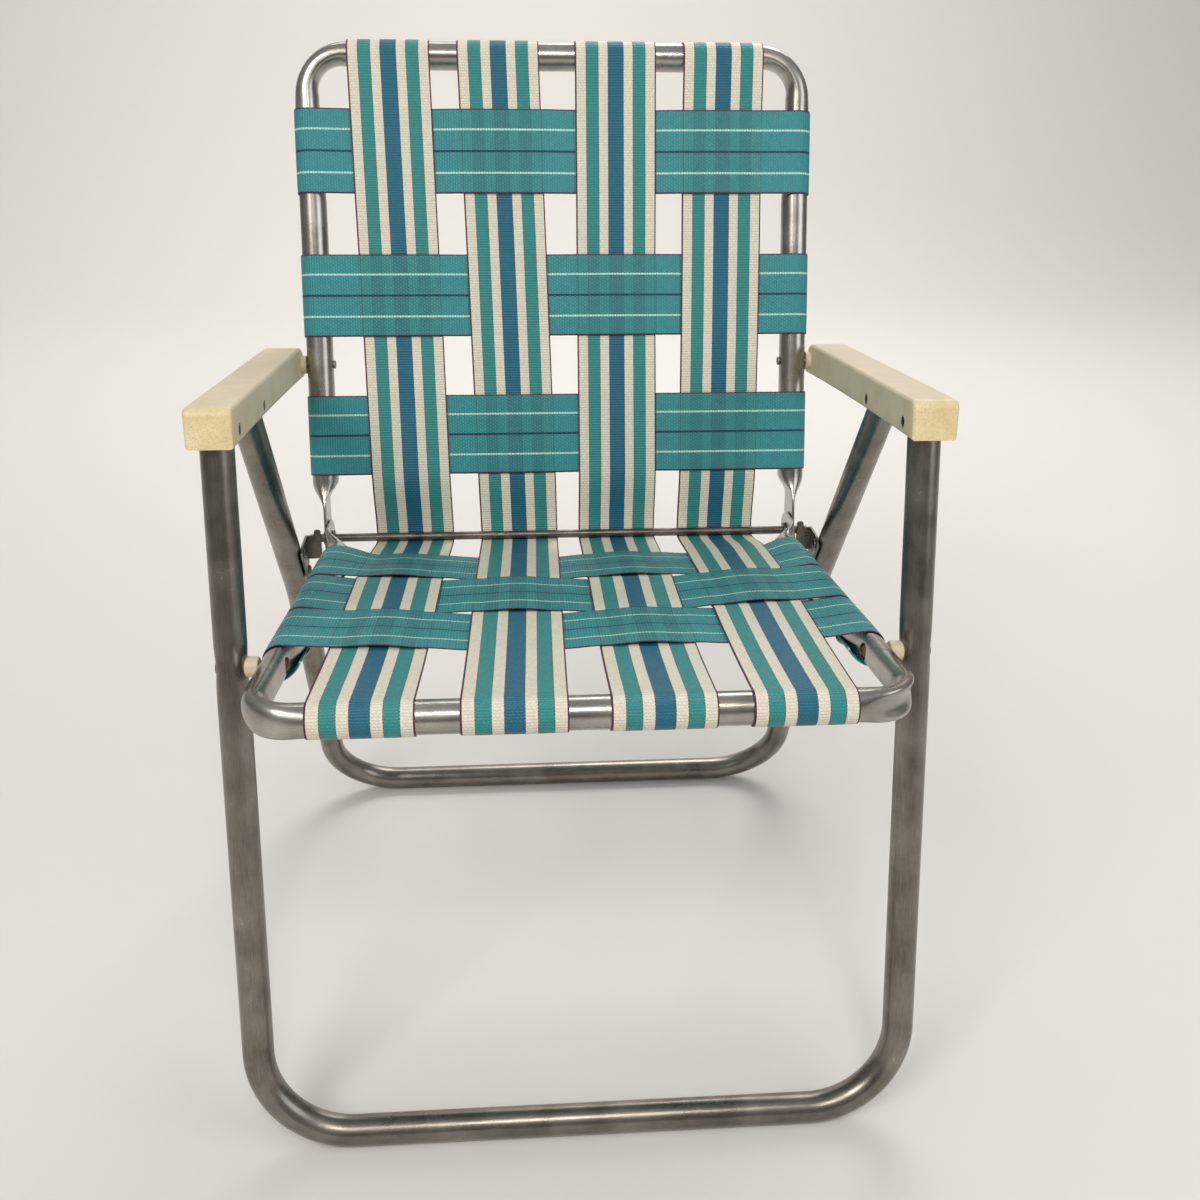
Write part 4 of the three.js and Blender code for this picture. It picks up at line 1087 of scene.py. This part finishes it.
def rivet_shape(tree, sizes):
    """Domed head above the surface, shank below it, and a hollow tail rolled outward at its end."""
    head = dome_nodes(tree, sizes["Head Radius"], sizes["Dome"])
    shank = cylinder_nodes(tree, SHANK_STEPS, sizes["Shank Radius"], sizes["Shank Length"])
    half_length = math_node(tree, "MULTIPLY", sizes["Shank Length"], -0.5)
    end = math_node(tree, "MULTIPLY", sizes["Shank Length"], -1.0)
    bore_radius = math_node(tree, "MULTIPLY", sizes["Shank Radius"], TAIL_BORE)
    bore = cylinder_nodes(tree, SHANK_STEPS, bore_radius, 2 * TAIL_DEPTH)
    hollow = cut_nodes(tree, moved(tree, shank, lift=half_length), moved(tree, bore, lift=end))
    roll = {
        "Curve": circle_nodes(tree, ROUND_STEPS, sizes["Roll Radius"]),
        "Profile Curve": circle_nodes(tree, ROLL_STEPS, sizes["Roll Thickness"]),
    }
    tail = add_node(tree, "GeometryNodeCurveToMesh", roll).outputs[0]
    return joined_nodes(tree, [head, hollow, moved(tree, tail, lift=end)])


rivet_tree = fastener_tree(
    "domed_rivets",
    {
        "Head Radius": RIVET_HEAD,
        "Dome": RIVET_DOME,
        "Shank Radius": RIVET_RADIUS,
        "Shank Length": RIVET_LENGTH,
        "Roll Radius": RIVET_RADIUS + RIVET_ROLL * ROLL_OUTSET,
        "Roll Thickness": RIVET_ROLL,
    },
    rivet_shape,
)


def fasten(name, tree, places, sizes, finish):
    """Runs a fastener tree over (place, facing) pairs and keeps the result as a plain mesh."""
    piece = new_piece(name, [place for place, _ in places], [])
    facing = piece.data.attributes.new("facing", "FLOAT_VECTOR", "POINT")
    for item, (_, way) in zip(facing.data, places):
        item.vector = way
    step = piece.modifiers.new("fasteners", "NODES")
    step.node_group = tree
    sockets = {s.name: s.identifier for s in tree.interface.items_tree if s.in_out == "INPUT"}
    for label, value in {**sizes, "Finish": finish}.items():
        step[sockets[label]] = value
    return shade_smooth(finished_mesh(piece))


def rivet_places(nodes, outward, sunk):
    """Where the heads of rivets sit: on the outer or the inner end of each rivet of the model."""
    places = []
    for node in nodes:
        low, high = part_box(node)
        middle = (low + high) / 2
        way = outward * math.copysign(1, middle.x)
        edge = high.x if way > 0 else low.x
        base = edge - way * (RIVET_DOME + sunk)
        places.append((Vector((base, middle.y, middle.z)), ACROSS * way))
    return places


def rivets_for(
    body,
    names,
    finish,
    outward=1,
    head=RIVET_HEAD,
    dome=RIVET_DOME,
    shank=RIVET_RADIUS,
    roll=RIVET_ROLL,
    sunk=0.0,
    longer=0.0,
):
    """Rivets of one kind on one body, with their heads sunk or their tails longer than modelled."""
    nodes = [f"{name}_{side}" for name in names for side, _ in SIDES]
    low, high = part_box(nodes[0])
    sizes = {
        "Head Radius": head,
        "Dome": dome,
        "Shank Radius": shank,
        "Shank Length": high.x - low.x - RIVET_DOME - roll - sunk + longer,
        "Roll Radius": shank + roll * ROLL_OUTSET,
        "Roll Thickness": roll,
    }
    piece = fasten(f"{body}_rivets", rivet_tree, rivet_places(nodes, outward, sunk), sizes, finish)
    fit(piece, body, "rivet_metal", *nodes)


rivets_for("arms", ["arm_front_rivet", "arm_rear_rivet"], rod_steel, longer=ARM_TAIL_OUT)
rivets_for("back", ["arm_back_rivet"], rivet_steel)
rivets_for(
    "front_legs",
    ["seat_rivet"],
    rusted_steel,
    head=FLUSH_HEAD,
    dome=FLUSH_DOME,
    roll=SEAT_ROLL,
    sunk=SEAT_HEAD_SUNK,
    longer=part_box("seat_rivet_right")[0].x - (seat_pivot_half - SEAT_TAIL_FACE),
)
rivets_for(
    "rear_legs",
    ["hook_rivet_upper", "hook_rivet_lower"],
    rod_steel,
    outward=-1,
    head=HOOK_RIVET_HEAD,
    shank=HOOK_RIVET_RADIUS,
    roll=HOOK_ROLL,
)


# Long straps: three-inch woven plastic webbing with lengthwise stripes in cream, teal and blue.
# Each runs from behind the top bar, down the back, behind the rod and over the seat's front bar,
# and drifts sideways a little, as hand-woven straps do. Its ends are folded to a point.
WEB_WIDTH = 76 * MM
WEB_THICK = 1.0 * MM
WEB_STEP = 2.4 * MM
WEB_COLUMNS = 40
STRAP_TOP_X = [-154.5 * MM, -53.5 * MM, 56 * MM, 158 * MM]
STRAP_CREASE_X = [-145 * MM, -42 * MM, 55 * MM, 154 * MM]
STRAP_FRONT_X = [-158.5 * MM, -51.5 * MM, 54 * MM, 155 * MM]
BACK_ROWS = [100 * MM, 231.5 * MM, 363 * MM]
SEAT_ROWS = [100.6 * MM, 178.8 * MM, 257 * MM]
WRAP_RADIUS = 13.5 * MM
WRAP_END = -165
WRAP_STEPS = 34
ROD_WRAP_RADIUS = 4.9 * MM
ROD_WRAP_STEPS = 6
WEAVE_LEVEL = 11.9 * MM
BACK_RISE = 0.9 * MM
SEAT_RISE = 1.0 * MM
SAG_ROUNDING = 0.7
DIP_FROM = 139.5 * MM
DIP_FULL = 61.5 * MM
DIP_FADE = (172 * MM, 214 * MM)
EDGE_PROBE = 30 * MM
WEAVE_EASE = 3 * MM
HEM = 16 * MM
HEM_POINT = 0.5
HEM_EASE = 2 * MM
WEB_CUP = 0.12 * MM
WEB_EDGE_SPAN = (0.485, 0.5)
WEB_EDGE_THINNING = 0.45
WEB_SHARP_DEGREES = 60
WARP_YARNS = 48.0
WEFT_PITCH = 2.4 * MM
YARN_LIGHT = 0.15
PAINTED_RIB_SHADE = (0.30, 0.0)
YARN_RELIEF = 0.45 * MM
SOILING = (0.0, 0.08)
WEB_ROUGH = (0.55, 0.32)
WEB_SPECULAR = 0.4
CROSSING_TINT = 0.04
BORDER_LINE = 0.009
BORDER_STITCH = 2.3 * MM
BORDER_DASH = 0.62
SOIL = (0.10, 0.08, 0.055)
BLACK = (0.0, 0.0, 0.0)
WHITE = (1.0, 1.0, 1.0)
TEAL = (0.022, 0.285, 0.285)
CREAM = (0.86, 0.805, 0.665)
BLUE = (0.004, 0.145, 0.245)
PLUM = (0.085, 0.012, 0.050)

PathPoint = namedtuple("PathPoint", "place up across beneath mask")
Panel = namedtuple("Panel", "body plane half_at length rows end_x rise sag dip")
seat_panel = Panel(
    body="seat",
    plane=seat_plane,
    half_at=seat_half_at,
    length=SEAT_LENGTH,
    rows=SEAT_ROWS,
    end_x=STRAP_FRONT_X,
    rise=SEAT_RISE,
    sag=7.5 * MM,
    dip=8.5 * MM,
)
back_panel = Panel(
    body="back",
    plane=back_plane,
    half_at=back_half_at,
    length=BACK_LENGTH,
    rows=BACK_ROWS,
    end_x=STRAP_TOP_X,
    rise=BACK_RISE,
    sag=2 * MM,
    dip=0.0,
)


def crossing_stretches(places, first_over, rise):
    """Stretches where a strap runs over (+) or under (-) the straps that it crosses, in turn."""
    grip = WEB_WIDTH / 2 - WEAVE_EASE
    stretches = []
    for k, place in enumerate(places):
        over = 1 if (k % 2 == 0) == first_over else -1
        stretches.append((place - grip, place + grip, WEAVE_LEVEL + over * rise, place, over))
    return stretches


def woven_run(start, end, stretches, puff):
    """(run, level) points of a woven strap between two ends, puffed up or down at its crossings."""
    levels = [(start[0], start[0], start[1], 0)]
    levels += [(low, high, level, over) for low, high, level, _, over in stretches]
    levels.append((end[0], end[0], end[1], 0))
    points = []
    for (low, high, level, over), (next_low, _, next_level, _) in zip(levels, levels[1:]):
        for run in spread(low, high, WEB_STEP) if high > low else [low]:
            middle = 2 * (run - low) / (high - low) - 1 if high > low else 1
            points.append((run, level + over * puff * (1 - middle**2) ** 2))
        for run in spread(high, next_low, WEB_STEP)[1:-1]:
            share = smooth_share(run, high, next_low)
            points.append((run, level + (next_level - level) * share))
    return points + [end]


def hang(panel, x, half, run):
    """How far the webbing hangs below its tubes: it sags in the middle and dips toward the rod."""
    along = math.sin(math.pi * min(max(run / panel.length, 0), 1))
    sag = panel.sag * (1 - min((x / half) ** 2, 1)) * along**SAG_ROUNDING
    toward_rod = min(max((DIP_FROM - run) / (DIP_FROM - DIP_FULL), 0), 1)
    return sag + panel.dip * toward_rod * (1 - smooth_share(abs(x), *DIP_FADE))


def beneath_mark(run, level, stretches):
    """Where a point lies across the strap that it passes over, and whether it passes over one."""
    for _, _, _, place, over in stretches:
        if abs(run - place) <= WEB_WIDTH / 2 and level > 0:
            return (run - place) / WEB_WIDTH + 0.5, 1.0 if over > 0 else 0.0
    return 0.5, 0.0


def strap_piece(name, path, material):
    """A strip of webbing along a path: two faces, rounded edges, and ends folded to a point."""
    runs = [0.0]
    for before, after in zip(path, path[1:]):
        runs.append(runs[-1] + (after.place - before.place).length)
    total = runs[-1]
    half = WEB_THICK / 2
    columns = [k / WEB_COLUMNS - 0.5 for k in range(WEB_COLUMNS + 1)]
    points, beneath, marks, faces = [], [], [], []
    for point, run in zip(path, runs):
        from_end = min(run, total - run)
        doubled = 1 + smooth_share(HEM - from_end, 0, HEM_EASE)
        narrow = 1 - (1 - HEM_POINT) * max(0.0, 1 - from_end / HEM)
        for layer in (1, -1):
            for share in columns:
                edge = 1 - WEB_EDGE_THINNING * smooth_share(abs(share), *WEB_EDGE_SPAN)
                cup = -WEB_CUP * (2 * share) ** 4
                lift = half * layer * edge * (doubled if layer > 0 else 1) + cup
                aside = point.across * (share * narrow * WEB_WIDTH)
                points.append(point.place + aside + point.up * lift)
                beneath.append((point.beneath, point.mask))
                marks.append((0.5 + share * narrow, run))
    width = WEB_COLUMNS + 1
    row = 2 * width
    for r in range(len(path) - 1):
        for layer in (0, 1):
            base = r * row + layer * width
            for k in range(WEB_COLUMNS):
                faces.append((base + k, base + k + 1, base + row + k + 1, base + row + k))
        for k in (0, WEB_COLUMNS):
            top, low = r * row + k, r * row + width + k
            faces.append((top, low, low + row, top + row))
    for r in (0, len(path) - 1):
        for k in range(WEB_COLUMNS):
            top, low = r * row + k, r * row + width + k
            faces.append((top, top + 1, low + 1, low))
    piece = new_piece(name, points, faces, [material])
    for label, places in (("webbing", marks), ("beneath", beneath)):
        layer = piece.data.uv_layers.new(name=label)
        for loop, mesh_loop in zip(layer.data, piece.data.loops):
            loop.uv = places[mesh_loop.vertex_index]
    return face_outward(piece, WEB_SHARP_DEGREES), total


def path_normals(flat):
    """The direction square to a flat path at each of its points, as (across, up) steps."""
    normals = []
    for k in range(len(flat)):
        before, after = flat[max(k - 1, 0)], flat[min(k + 1, len(flat) - 1)]
        step = Vector((after[0] - before[0], after[1] - before[1])).normalized()
        normals.append((-step.y, step.x))
    return normals


def strap_x(panel, k, share):
    """The middle of a long strap between the crease (0) and the bar that it ends on (1)."""
    return STRAP_CREASE_X[k] + (panel.end_x[k] - STRAP_CREASE_X[k]) * min(max(share, 0.0), 1.0)


def long_strap_half(panel, k, first_over):
    """Half of a long strap, from the middle of its turn round the rod to its end behind the bar."""
    plane, length = panel.plane, panel.length
    stretches = crossing_stretches(panel.rows, first_over, panel.rise)
    flat = arc((0, 0), ROD_WRAP_RADIUS, -90 - math.degrees(half_wrap), -90, ROD_WRAP_STEPS)[:-1]
    flat += woven_run((0.0, -ROD_WRAP_RADIUS), (length, WRAP_RADIUS), stretches, 0.0)
    flat += arc((length, 0), WRAP_RADIUS, 90, WRAP_END, WRAP_STEPS)[1:]
    hanging, slopes = [], []
    for run, level in flat:
        x = strap_x(panel, k, run / length)
        half = panel.half_at(run)
        woven = max(run, DIP_FULL)
        lifted = (level + ROD_WRAP_RADIUS) / (WEAVE_LEVEL + ROD_WRAP_RADIUS)
        share = min(max(lifted, 0.0), 1.0) if run > 0 else 0.0
        probes = [hang(panel, x + aside, half, woven) for aside in (-EDGE_PROBE, EDGE_PROBE)]
        hanging.append((run, level - share * sum(probes) / 2))
        slopes.append(share * (probes[0] - probes[1]) / (2 * EDGE_PROBE))
    path = []
    for (run, level), (ahead, up), slope in zip(hanging, path_normals(hanging), slopes):
        x = strap_x(panel, k, run / length)
        place = plane.origin + plane.along * run + plane.front * level + ACROSS * x
        beneath, mask = beneath_mark(run, level, stretches)
        normal = plane.along * ahead + plane.front * up
        path.append(PathPoint(place, normal, ACROSS + plane.front * slope, beneath, mask))
    return path


def webbing_weave_group():
    """Ribbed weave of the webbing: the height of its yarns; a shade, low in the hollows between the
    ribs as painted shade and with a random tone for each yarn; and a worn fuzz.
    """
    group, source, result = new_group(
        "webbing_weave",
        "ShaderNodeTree",
        {"Strap": "Vector", "Place": "Vector", "Warp Yarns": WARP_YARNS, "Weft Pitch": WEFT_PITCH},
        {"Height": "Float", "Shade": "Float", "Fuzz": "Float"},
    )
    apart = add_node(group, "ShaderNodeSeparateXYZ", {0: source.outputs["Strap"]})
    yarns = math_node(group, "MULTIPLY", apart.outputs["X"], source.outputs["Warp Yarns"])
    picks = math_node(group, "DIVIDE", apart.outputs["Y"], source.outputs["Weft Pitch"])
    warp_wave = math_node(group, "SINE", math_node(group, "MULTIPLY", yarns, math.pi))
    weft_wave = math_node(group, "SINE", math_node(group, "MULTIPLY", picks, math.pi))
    check = math_node(group, "MULTIPLY", warp_wave, weft_wave)
    ribs = math_node(group, "ABSOLUTE", weft_wave)
    height = weighted_sum(group, check, 0.25, ribs, 0.75)
    fuzz = noise(group, source.outputs["Place"], scale=160.0, detail=4.0, roughness=0.6)
    yarn, pick = [math_node(group, "FLOOR", count) for count in (yarns, picks)]
    cell = add_node(group, "ShaderNodeCombineXYZ", {"X": yarn, "Y": pick, "Z": 0.0}).outputs[0]
    uneven = add_node(group, "ShaderNodeTexWhiteNoise", {"Vector": cell}, noise_dimensions="3D")
    # Painted shade: the shade falls in the hollows between the ribs; the white noise adds a random tone
    # to each yarn.
    raised = weighted_sum(group, height, 0.6, uneven.outputs["Value"], 0.3)
    shade = math_node(group, "ADD", raised, YARN_LIGHT)
    put_out(group, result, Height=height, Shade=shade, Fuzz=fuzz)
    return group


webbing_weave = webbing_weave_group()


def stripe_stops(bands):
    """Ramp stops for stripes: each band is (share of the width, colour)."""
    stops, place = [], 0.0
    for share, colour in bands:
        stops.append((place, colour))
        place += share
    return stops


def line_stops(places, width):
    """Ramp stops that are white on thin lines and black between them."""
    stops = [(0.0, BLACK)]
    for place in places:
        stops += [(place - width / 2, WHITE), (place + width / 2, BLACK)]
    return stops


LONG_BANDS = [
    (0.018, PLUM),
    (0.116, CREAM),
    (0.152, TEAL),
    (0.118, CREAM),
    (0.192, BLUE),
    (0.118, CREAM),
    (0.152, TEAL),
    (0.116, CREAM),
    (0.018, PLUM),
]
LONG_BORDERS = [place for place, _ in stripe_stops(LONG_BANDS)][2:-1]


def dashes(tree, along, period, share):
    """1 on the dashes of a broken line and 0 between them."""
    beat = math_node(tree, "FRACT", math_node(tree, "DIVIDE", along, period))
    return math_node(tree, "LESS_THAN", beat, share)


def broken_lines(tree, strap, places, width, period, share):
    """A mask of thin dashed lines along a strap."""
    mask = ramp(tree, strap.outputs["X"], line_stops(places, width), "CONSTANT")
    return math_node(tree, "MULTIPLY", mask, dashes(tree, strap.outputs["Y"], period, share))


def webbing_material(name, paint):
    """Woven webbing: paint(tree, strap position, beneath position) gives the colour of its yarns."""
    made, tree, surface = new_material(name)
    place = add_node(tree, "ShaderNodeTexCoord").outputs["Object"]
    strap = add_node(tree, "ShaderNodeUVMap", uv_map="webbing").outputs["UV"]
    beneath = add_node(tree, "ShaderNodeUVMap", uv_map="beneath").outputs["UV"]
    weave = add_node(tree, "ShaderNodeGroup", {"Strap": strap, "Place": place}, node_tree=webbing_weave)
    shade = weave.outputs["Shade"]
    strap_parts, beneath_parts = [
        add_node(tree, "ShaderNodeSeparateXYZ", {0: position}) for position in (strap, beneath)
    ]
    colour = paint(tree, strap_parts, beneath_parts)
    # Painted shade: the yarns are darkened by up to 30% where the weave is low, between its ribs.
    yarn = mix_colour(tree, stretch(tree, shade, *PAINTED_RIB_SHADE), colour, BLACK)
    soiled = mix_colour(tree, stretch(tree, weave.outputs["Fuzz"], *SOILING), yarn, SOIL)
    dress(tree, surface, soiled, stretch(tree, shade, *WEB_ROUGH), weave.outputs["Height"], YARN_RELIEF)
    surface.inputs["Specular IOR Level"].default_value = WEB_SPECULAR
    return made


def striped_paint(tree, strap, beneath):
    """Lengthwise stripes with broken plum lines at their borders, tinted over a cross strap."""
    bands = ramp(tree, strap.outputs["X"], stripe_stops(LONG_BANDS), "CONSTANT")
    through = math_node(tree, "MULTIPLY", beneath.outputs["Y"], CROSSING_TINT)
    shaded = mix_colour(tree, through, bands, TEAL)
    lines = broken_lines(tree, strap, LONG_BORDERS, BORDER_LINE, BORDER_STITCH, BORDER_DASH)
    return mix_colour(tree, lines, shaded, PLUM)


striped_web = webbing_material("striped_webbing", striped_paint)
half_wrap = (math.pi - seat_plane.along.angle(back_plane.along)) / 2
for k in range(len(STRAP_CREASE_X)):
    over_on_back = k % 2 == 0
    seat_half = long_strap_half(seat_panel, k, not over_on_back)
    back_half = long_strap_half(back_panel, k, over_on_back)
    number = k + 1
    strap, length = strap_piece(f"long_strap_{number}", seat_half[::-1] + back_half[1:], striped_web)
    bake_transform(strap)
    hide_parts(f"seat_long_strap_{number}", f"back_long_strap_{number}")


# Cross straps: the same webbing in teal with fine mint and navy lines, woven over and under the
# long straps. The stripes beneath show through it, and on the seat it has stretched and lies loose.
SEAT_PUFF = 2.2 * MM
BACK_PUFF = 0.5 * MM
FOLDED_END_DRIFT = 11 * MM
DRIFT_FROM = 0.4 * WRAP_STEPS
STRIPES_SHOW = 0.32
MINT_LINES = [0.245, 0.755]
MINT_LINE = 0.022
MINT_STITCH = 2.6 * MM
MINT_DASH = 0.88
THIN_TEAL = (0.032, 0.303, 0.330)
MINT = (0.60, 0.86, 0.80)
NAVY = (0.012, 0.030, 0.110)
CROSS_BANDS = [(0.016, PLUM), (0.470, THIN_TEAL), (0.028, NAVY), (0.470, THIN_TEAL), (0.016, PLUM)]


def cross_strap_path(panel, row, first_over, puff, end_drift):
    """A cross strap's path: round the left tube, through the weave and round the right tube."""
    plane, half = panel.plane, panel.half_at(row)
    slant = (panel.half_at(row + MM) - half) / MM
    crossed = [strap_x(panel, k, row / panel.length) for k in range(len(STRAP_CREASE_X))]
    stretches = crossing_stretches(crossed, first_over, panel.rise)
    wrap = arc((half, 0), WRAP_RADIUS, 90, WRAP_END, WRAP_STEPS)
    drifts = [smooth_share(k, DRIFT_FROM, WRAP_STEPS) for k in range(len(wrap))]
    right_end = [(x, level, drift) for (x, level), drift in zip(wrap, drifts)]
    left_end = [(-x, level, drift) for x, level, drift in reversed(right_end)]
    middle = woven_run((-half, WRAP_RADIUS), (half, WRAP_RADIUS), stretches, puff)
    flat = left_end[:-1] + [(x, level, 0.0) for x, level in middle] + right_end[1:]
    hanging, slopes = [], []
    for x, level, _ in flat:
        share = 1.0 if abs(x) < half and level > 0 else 0.0
        probes = [share * hang(panel, x, half, row + ahead) for ahead in (-EDGE_PROBE, EDGE_PROBE)]
        hanging.append((x, level - sum(probes) / 2))
        slopes.append((probes[0] - probes[1]) / (2 * EDGE_PROBE))
    path = []
    normals = path_normals(hanging)
    for (x, level), (aside, up), (_, _, drift), slope in zip(hanging, normals, flat, slopes):
        across = plane.along + plane.front * slope + ACROSS * (slant * min(max(x / half, -1), 1))
        place = plane.origin + plane.along * row + ACROSS * x + plane.front * level
        beneath, mask = beneath_mark(x, level, stretches)
        normal = ACROSS * aside + plane.front * up
        path.append(PathPoint(place + across * (drift * end_drift), normal, across, beneath, mask))
    return path


def teal_paint(tree, strap, beneath):
    """Teal with fine lines, and the dark stripes of the strap beneath showing faintly through."""
    own = ramp(tree, strap.outputs["X"], stripe_stops(CROSS_BANDS), "CONSTANT")
    seen = ramp(tree, beneath.outputs["X"], stripe_stops(LONG_BANDS), "CONSTANT")
    through = math_node(tree, "MULTIPLY", beneath.outputs["Y"], STRIPES_SHOW)
    showing = mix_colour(tree, through, own, seen, "MULTIPLY")
    lines = broken_lines(tree, strap, MINT_LINES, MINT_LINE, MINT_STITCH, MINT_DASH)
    return mix_colour(tree, lines, showing, MINT)


teal_web = webbing_material("teal_webbing", teal_paint)
for panel, numbers, puff in ((back_panel, (3, 2, 1), BACK_PUFF), (seat_panel, (1, 2, 3), SEAT_PUFF)):
    body = panel.body
    on_seat = panel is seat_panel
    for row, number in zip(panel.rows, numbers):
        first_over = (number % 2 == 1) == on_seat
        end_drift = FOLDED_END_DRIFT if on_seat and number == 3 else 0.0
        path = cross_strap_path(panel, row, first_over, puff, end_drift)
        strap, length = strap_piece(f"{body}_cross_webbing_{number}", path, teal_web)
        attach(strap, body)
        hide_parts(f"{body}_cross_strap_{number}")


# Strap screws: plain steel screws, each with a domed, slotted head on a washer. One goes through
# every folded strap end into the tube, on the side away from the sitter.
SCREW_HEAD = 3.6 * MM
SCREW_DOME = 1.7 * MM
SCREW_WASHER = 5.2 * MM
SCREW_WASHER_THICK = 0.7 * MM
SCREW_SLOT = 0.8 * MM
SCREW_SLOT_LENGTH = 3.0
SCREW_SUNK = 0.1 * MM
SCREW_ANGLE = math.radians(-138)


def screw_shape(tree, sizes):
    """A washer with a domed, slotted head on it."""
    washer = cylinder_nodes(tree, ROUND_STEPS, sizes["Washer Radius"], sizes["Washer Thickness"])
    dome = dome_nodes(tree, sizes["Head Radius"], sizes["Dome"])
    long_side = math_node(tree, "MULTIPLY", sizes["Head Radius"], SCREW_SLOT_LENGTH)
    blade = {"X": long_side, "Y": sizes["Slot"], "Z": sizes["Dome"]}
    size = add_node(tree, "ShaderNodeCombineXYZ", blade).outputs[0]
    cutter = add_node(tree, "GeometryNodeMeshCube", {"Size": size}).outputs["Mesh"]
    slotted = cut_nodes(tree, dome, moved(tree, cutter, lift=sizes["Dome"]))
    return joined_nodes(tree, [washer, slotted])


screw_tree = fastener_tree(
    "strap_screws",
    {
        "Head Radius": SCREW_HEAD,
        "Dome": SCREW_DOME,
        "Washer Radius": SCREW_WASHER,
        "Washer Thickness": SCREW_WASHER_THICK,
        "Slot": SCREW_SLOT,
    },
    screw_shape,
)


def screw_place(centre, toward_hidden, outward):
    """Where a screw sits on the doubled strap end: an angle past the tube's outer side."""
    way = outward * math.cos(SCREW_ANGLE) - toward_hidden * math.sin(SCREW_ANGLE)
    reach = WRAP_RADIUS + 1.5 * WEB_THICK - SCREW_SUNK
    return centre + way * reach, way


for panel in (seat_panel, back_panel):
    plane = panel.plane
    hidden = -plane.front
    bar = plane.origin + plane.along * panel.length
    places = [screw_place(bar + ACROSS * x, hidden, plane.along) for x in panel.end_x]
    for row in panel.rows:
        for _, sign in SIDES:
            rail = plane.origin + plane.along * row + ACROSS * (sign * panel.half_at(row))
            places.append(screw_place(rail, hidden, ACROSS * sign))
    screws = fasten(f"{panel.body}_strap_screws", screw_tree, places, {}, rivet_steel)
    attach(screws, panel.body)


# Studio: a pale seamless floor that curves up behind the chair, soft lamps and a camera that
# stands where the photograph was taken from.
FLOOR_HALF = 6.0
FLOOR_FRONT = -6.0
FLOOR_BACK = 3.2
FLOOR_CURVE = 1.6
FLOOR_CURVE_STEPS = 24
FLOOR_TOP = 5.0
FLOOR_ROUGH = 0.9
FLOOR_COLOUR = (0.74, 0.72, 0.69)

floor_line = [(FLOOR_FRONT, 0.0)]
floor_line += arc((FLOOR_BACK, FLOOR_CURVE), FLOOR_CURVE, -90, 0, FLOOR_CURVE_STEPS)
floor_line.append((FLOOR_BACK + FLOOR_CURVE, FLOOR_TOP))
floor_points = [(x, y, z) for x in (-FLOOR_HALF, FLOOR_HALF) for y, z in floor_line]
count = len(floor_line)
floor_faces = [(k, count + k, count + k + 1, k + 1) for k in range(count - 1)]
paper, _, paper_surface = new_material("pale_backdrop")
paper_surface.inputs["Base Color"].default_value = (*FLOOR_COLOUR, 1)
paper_surface.inputs["Roughness"].default_value = FLOOR_ROUGH
floor = new_piece("studio_floor", floor_points, floor_faces, [paper])
floor.data.shade_smooth()

scene = bpy.context.scene
scene.view_settings.view_transform = "Standard"

WARM = (1.0, 0.96, 0.90)
WARMER = (1.0, 0.95, 0.87)
COOL = (0.95, 0.97, 1.0)
NEAR_WHITE = (1.0, 0.98, 0.95)
CHAIR_MIDDLE = (0, 0, 0.45)
AIR_STRENGTH = 0.55
AIR_SHADES = [(0.0, (0.30, 0.28, 0.26)), (0.25, (0.52, 0.50, 0.48)), (1.0, (0.92, 0.92, 0.92))]


def soft_lamp(name, place, size, power, colour, target=CHAIR_MIDDLE):
    """A square lamp that faces the middle of the chair or another target."""
    light = bpy.data.lights.new(name, "AREA")
    light.size = size
    light.energy = power
    light.color = colour
    lamp = bpy.data.objects.new(name, light)
    lamp.location = place
    lamp.rotation_euler = (Vector(target) - Vector(place)).to_track_quat("-Z", "Y").to_euler()
    scene.collection.objects.link(lamp)


soft_lamp("key_lamp", place=(-1.5, -2.3, 2.6), size=1.3, power=44, colour=WARM)
soft_lamp("front_lamp", place=(0.1, -1.8, 2.1), size=0.4, power=12, colour=WARMER)
soft_lamp("fill_lamp", place=(2.4, -1.6, 1.6), size=1.8, power=20, colour=COOL)
soft_lamp("rear_lamp", place=(0.8, 2.2, 2.6), size=1.4, power=26, colour=NEAR_WHITE)
soft_lamp(
    "backdrop_lamp", place=(0, 2.6, 3.8), size=2.4, power=90, colour=NEAR_WHITE, target=(0, 4.8, 1.2)
)

sky = bpy.data.worlds.new("studio_air")
scene.world = sky
sky.use_nodes = True
air = sky.node_tree
direction = add_node(air, "ShaderNodeTexCoord").outputs["Generated"]
height = add_node(air, "ShaderNodeSeparateXYZ", {0: direction}).outputs["Z"]
background = air.nodes["Background"]
air.links.new(ramp(air, height, AIR_SHADES), background.inputs["Color"])
background.inputs["Strength"].default_value = AIR_STRENGTH

CAMERA_PLACE = Vector((-52.9, -1055.1, 841.7)) * MM
CAMERA_PITCH = 0.42
CAMERA_YAW = -0.078
CAMERA_ROLL = 0.010
FOCAL_PIXELS = 1259.1
PHOTO_PIXELS = 1200
SENSOR_WIDTH = 36
NEAREST_SEEN = 0.01

view = bpy.data.cameras.new("photo_view")
view.sensor_width = SENSOR_WIDTH
view.lens = FOCAL_PIXELS / PHOTO_PIXELS * SENSOR_WIDTH
view.clip_start = NEAREST_SEEN
camera = bpy.data.objects.new("photo_view", view)
camera.location = CAMERA_PLACE
camera.rotation_euler = (math.pi / 2 - CAMERA_PITCH, 0, CAMERA_YAW)
camera.rotation_euler.rotate_axis("Z", CAMERA_ROLL)
scene.collection.objects.link(camera)
scene.camera = camera
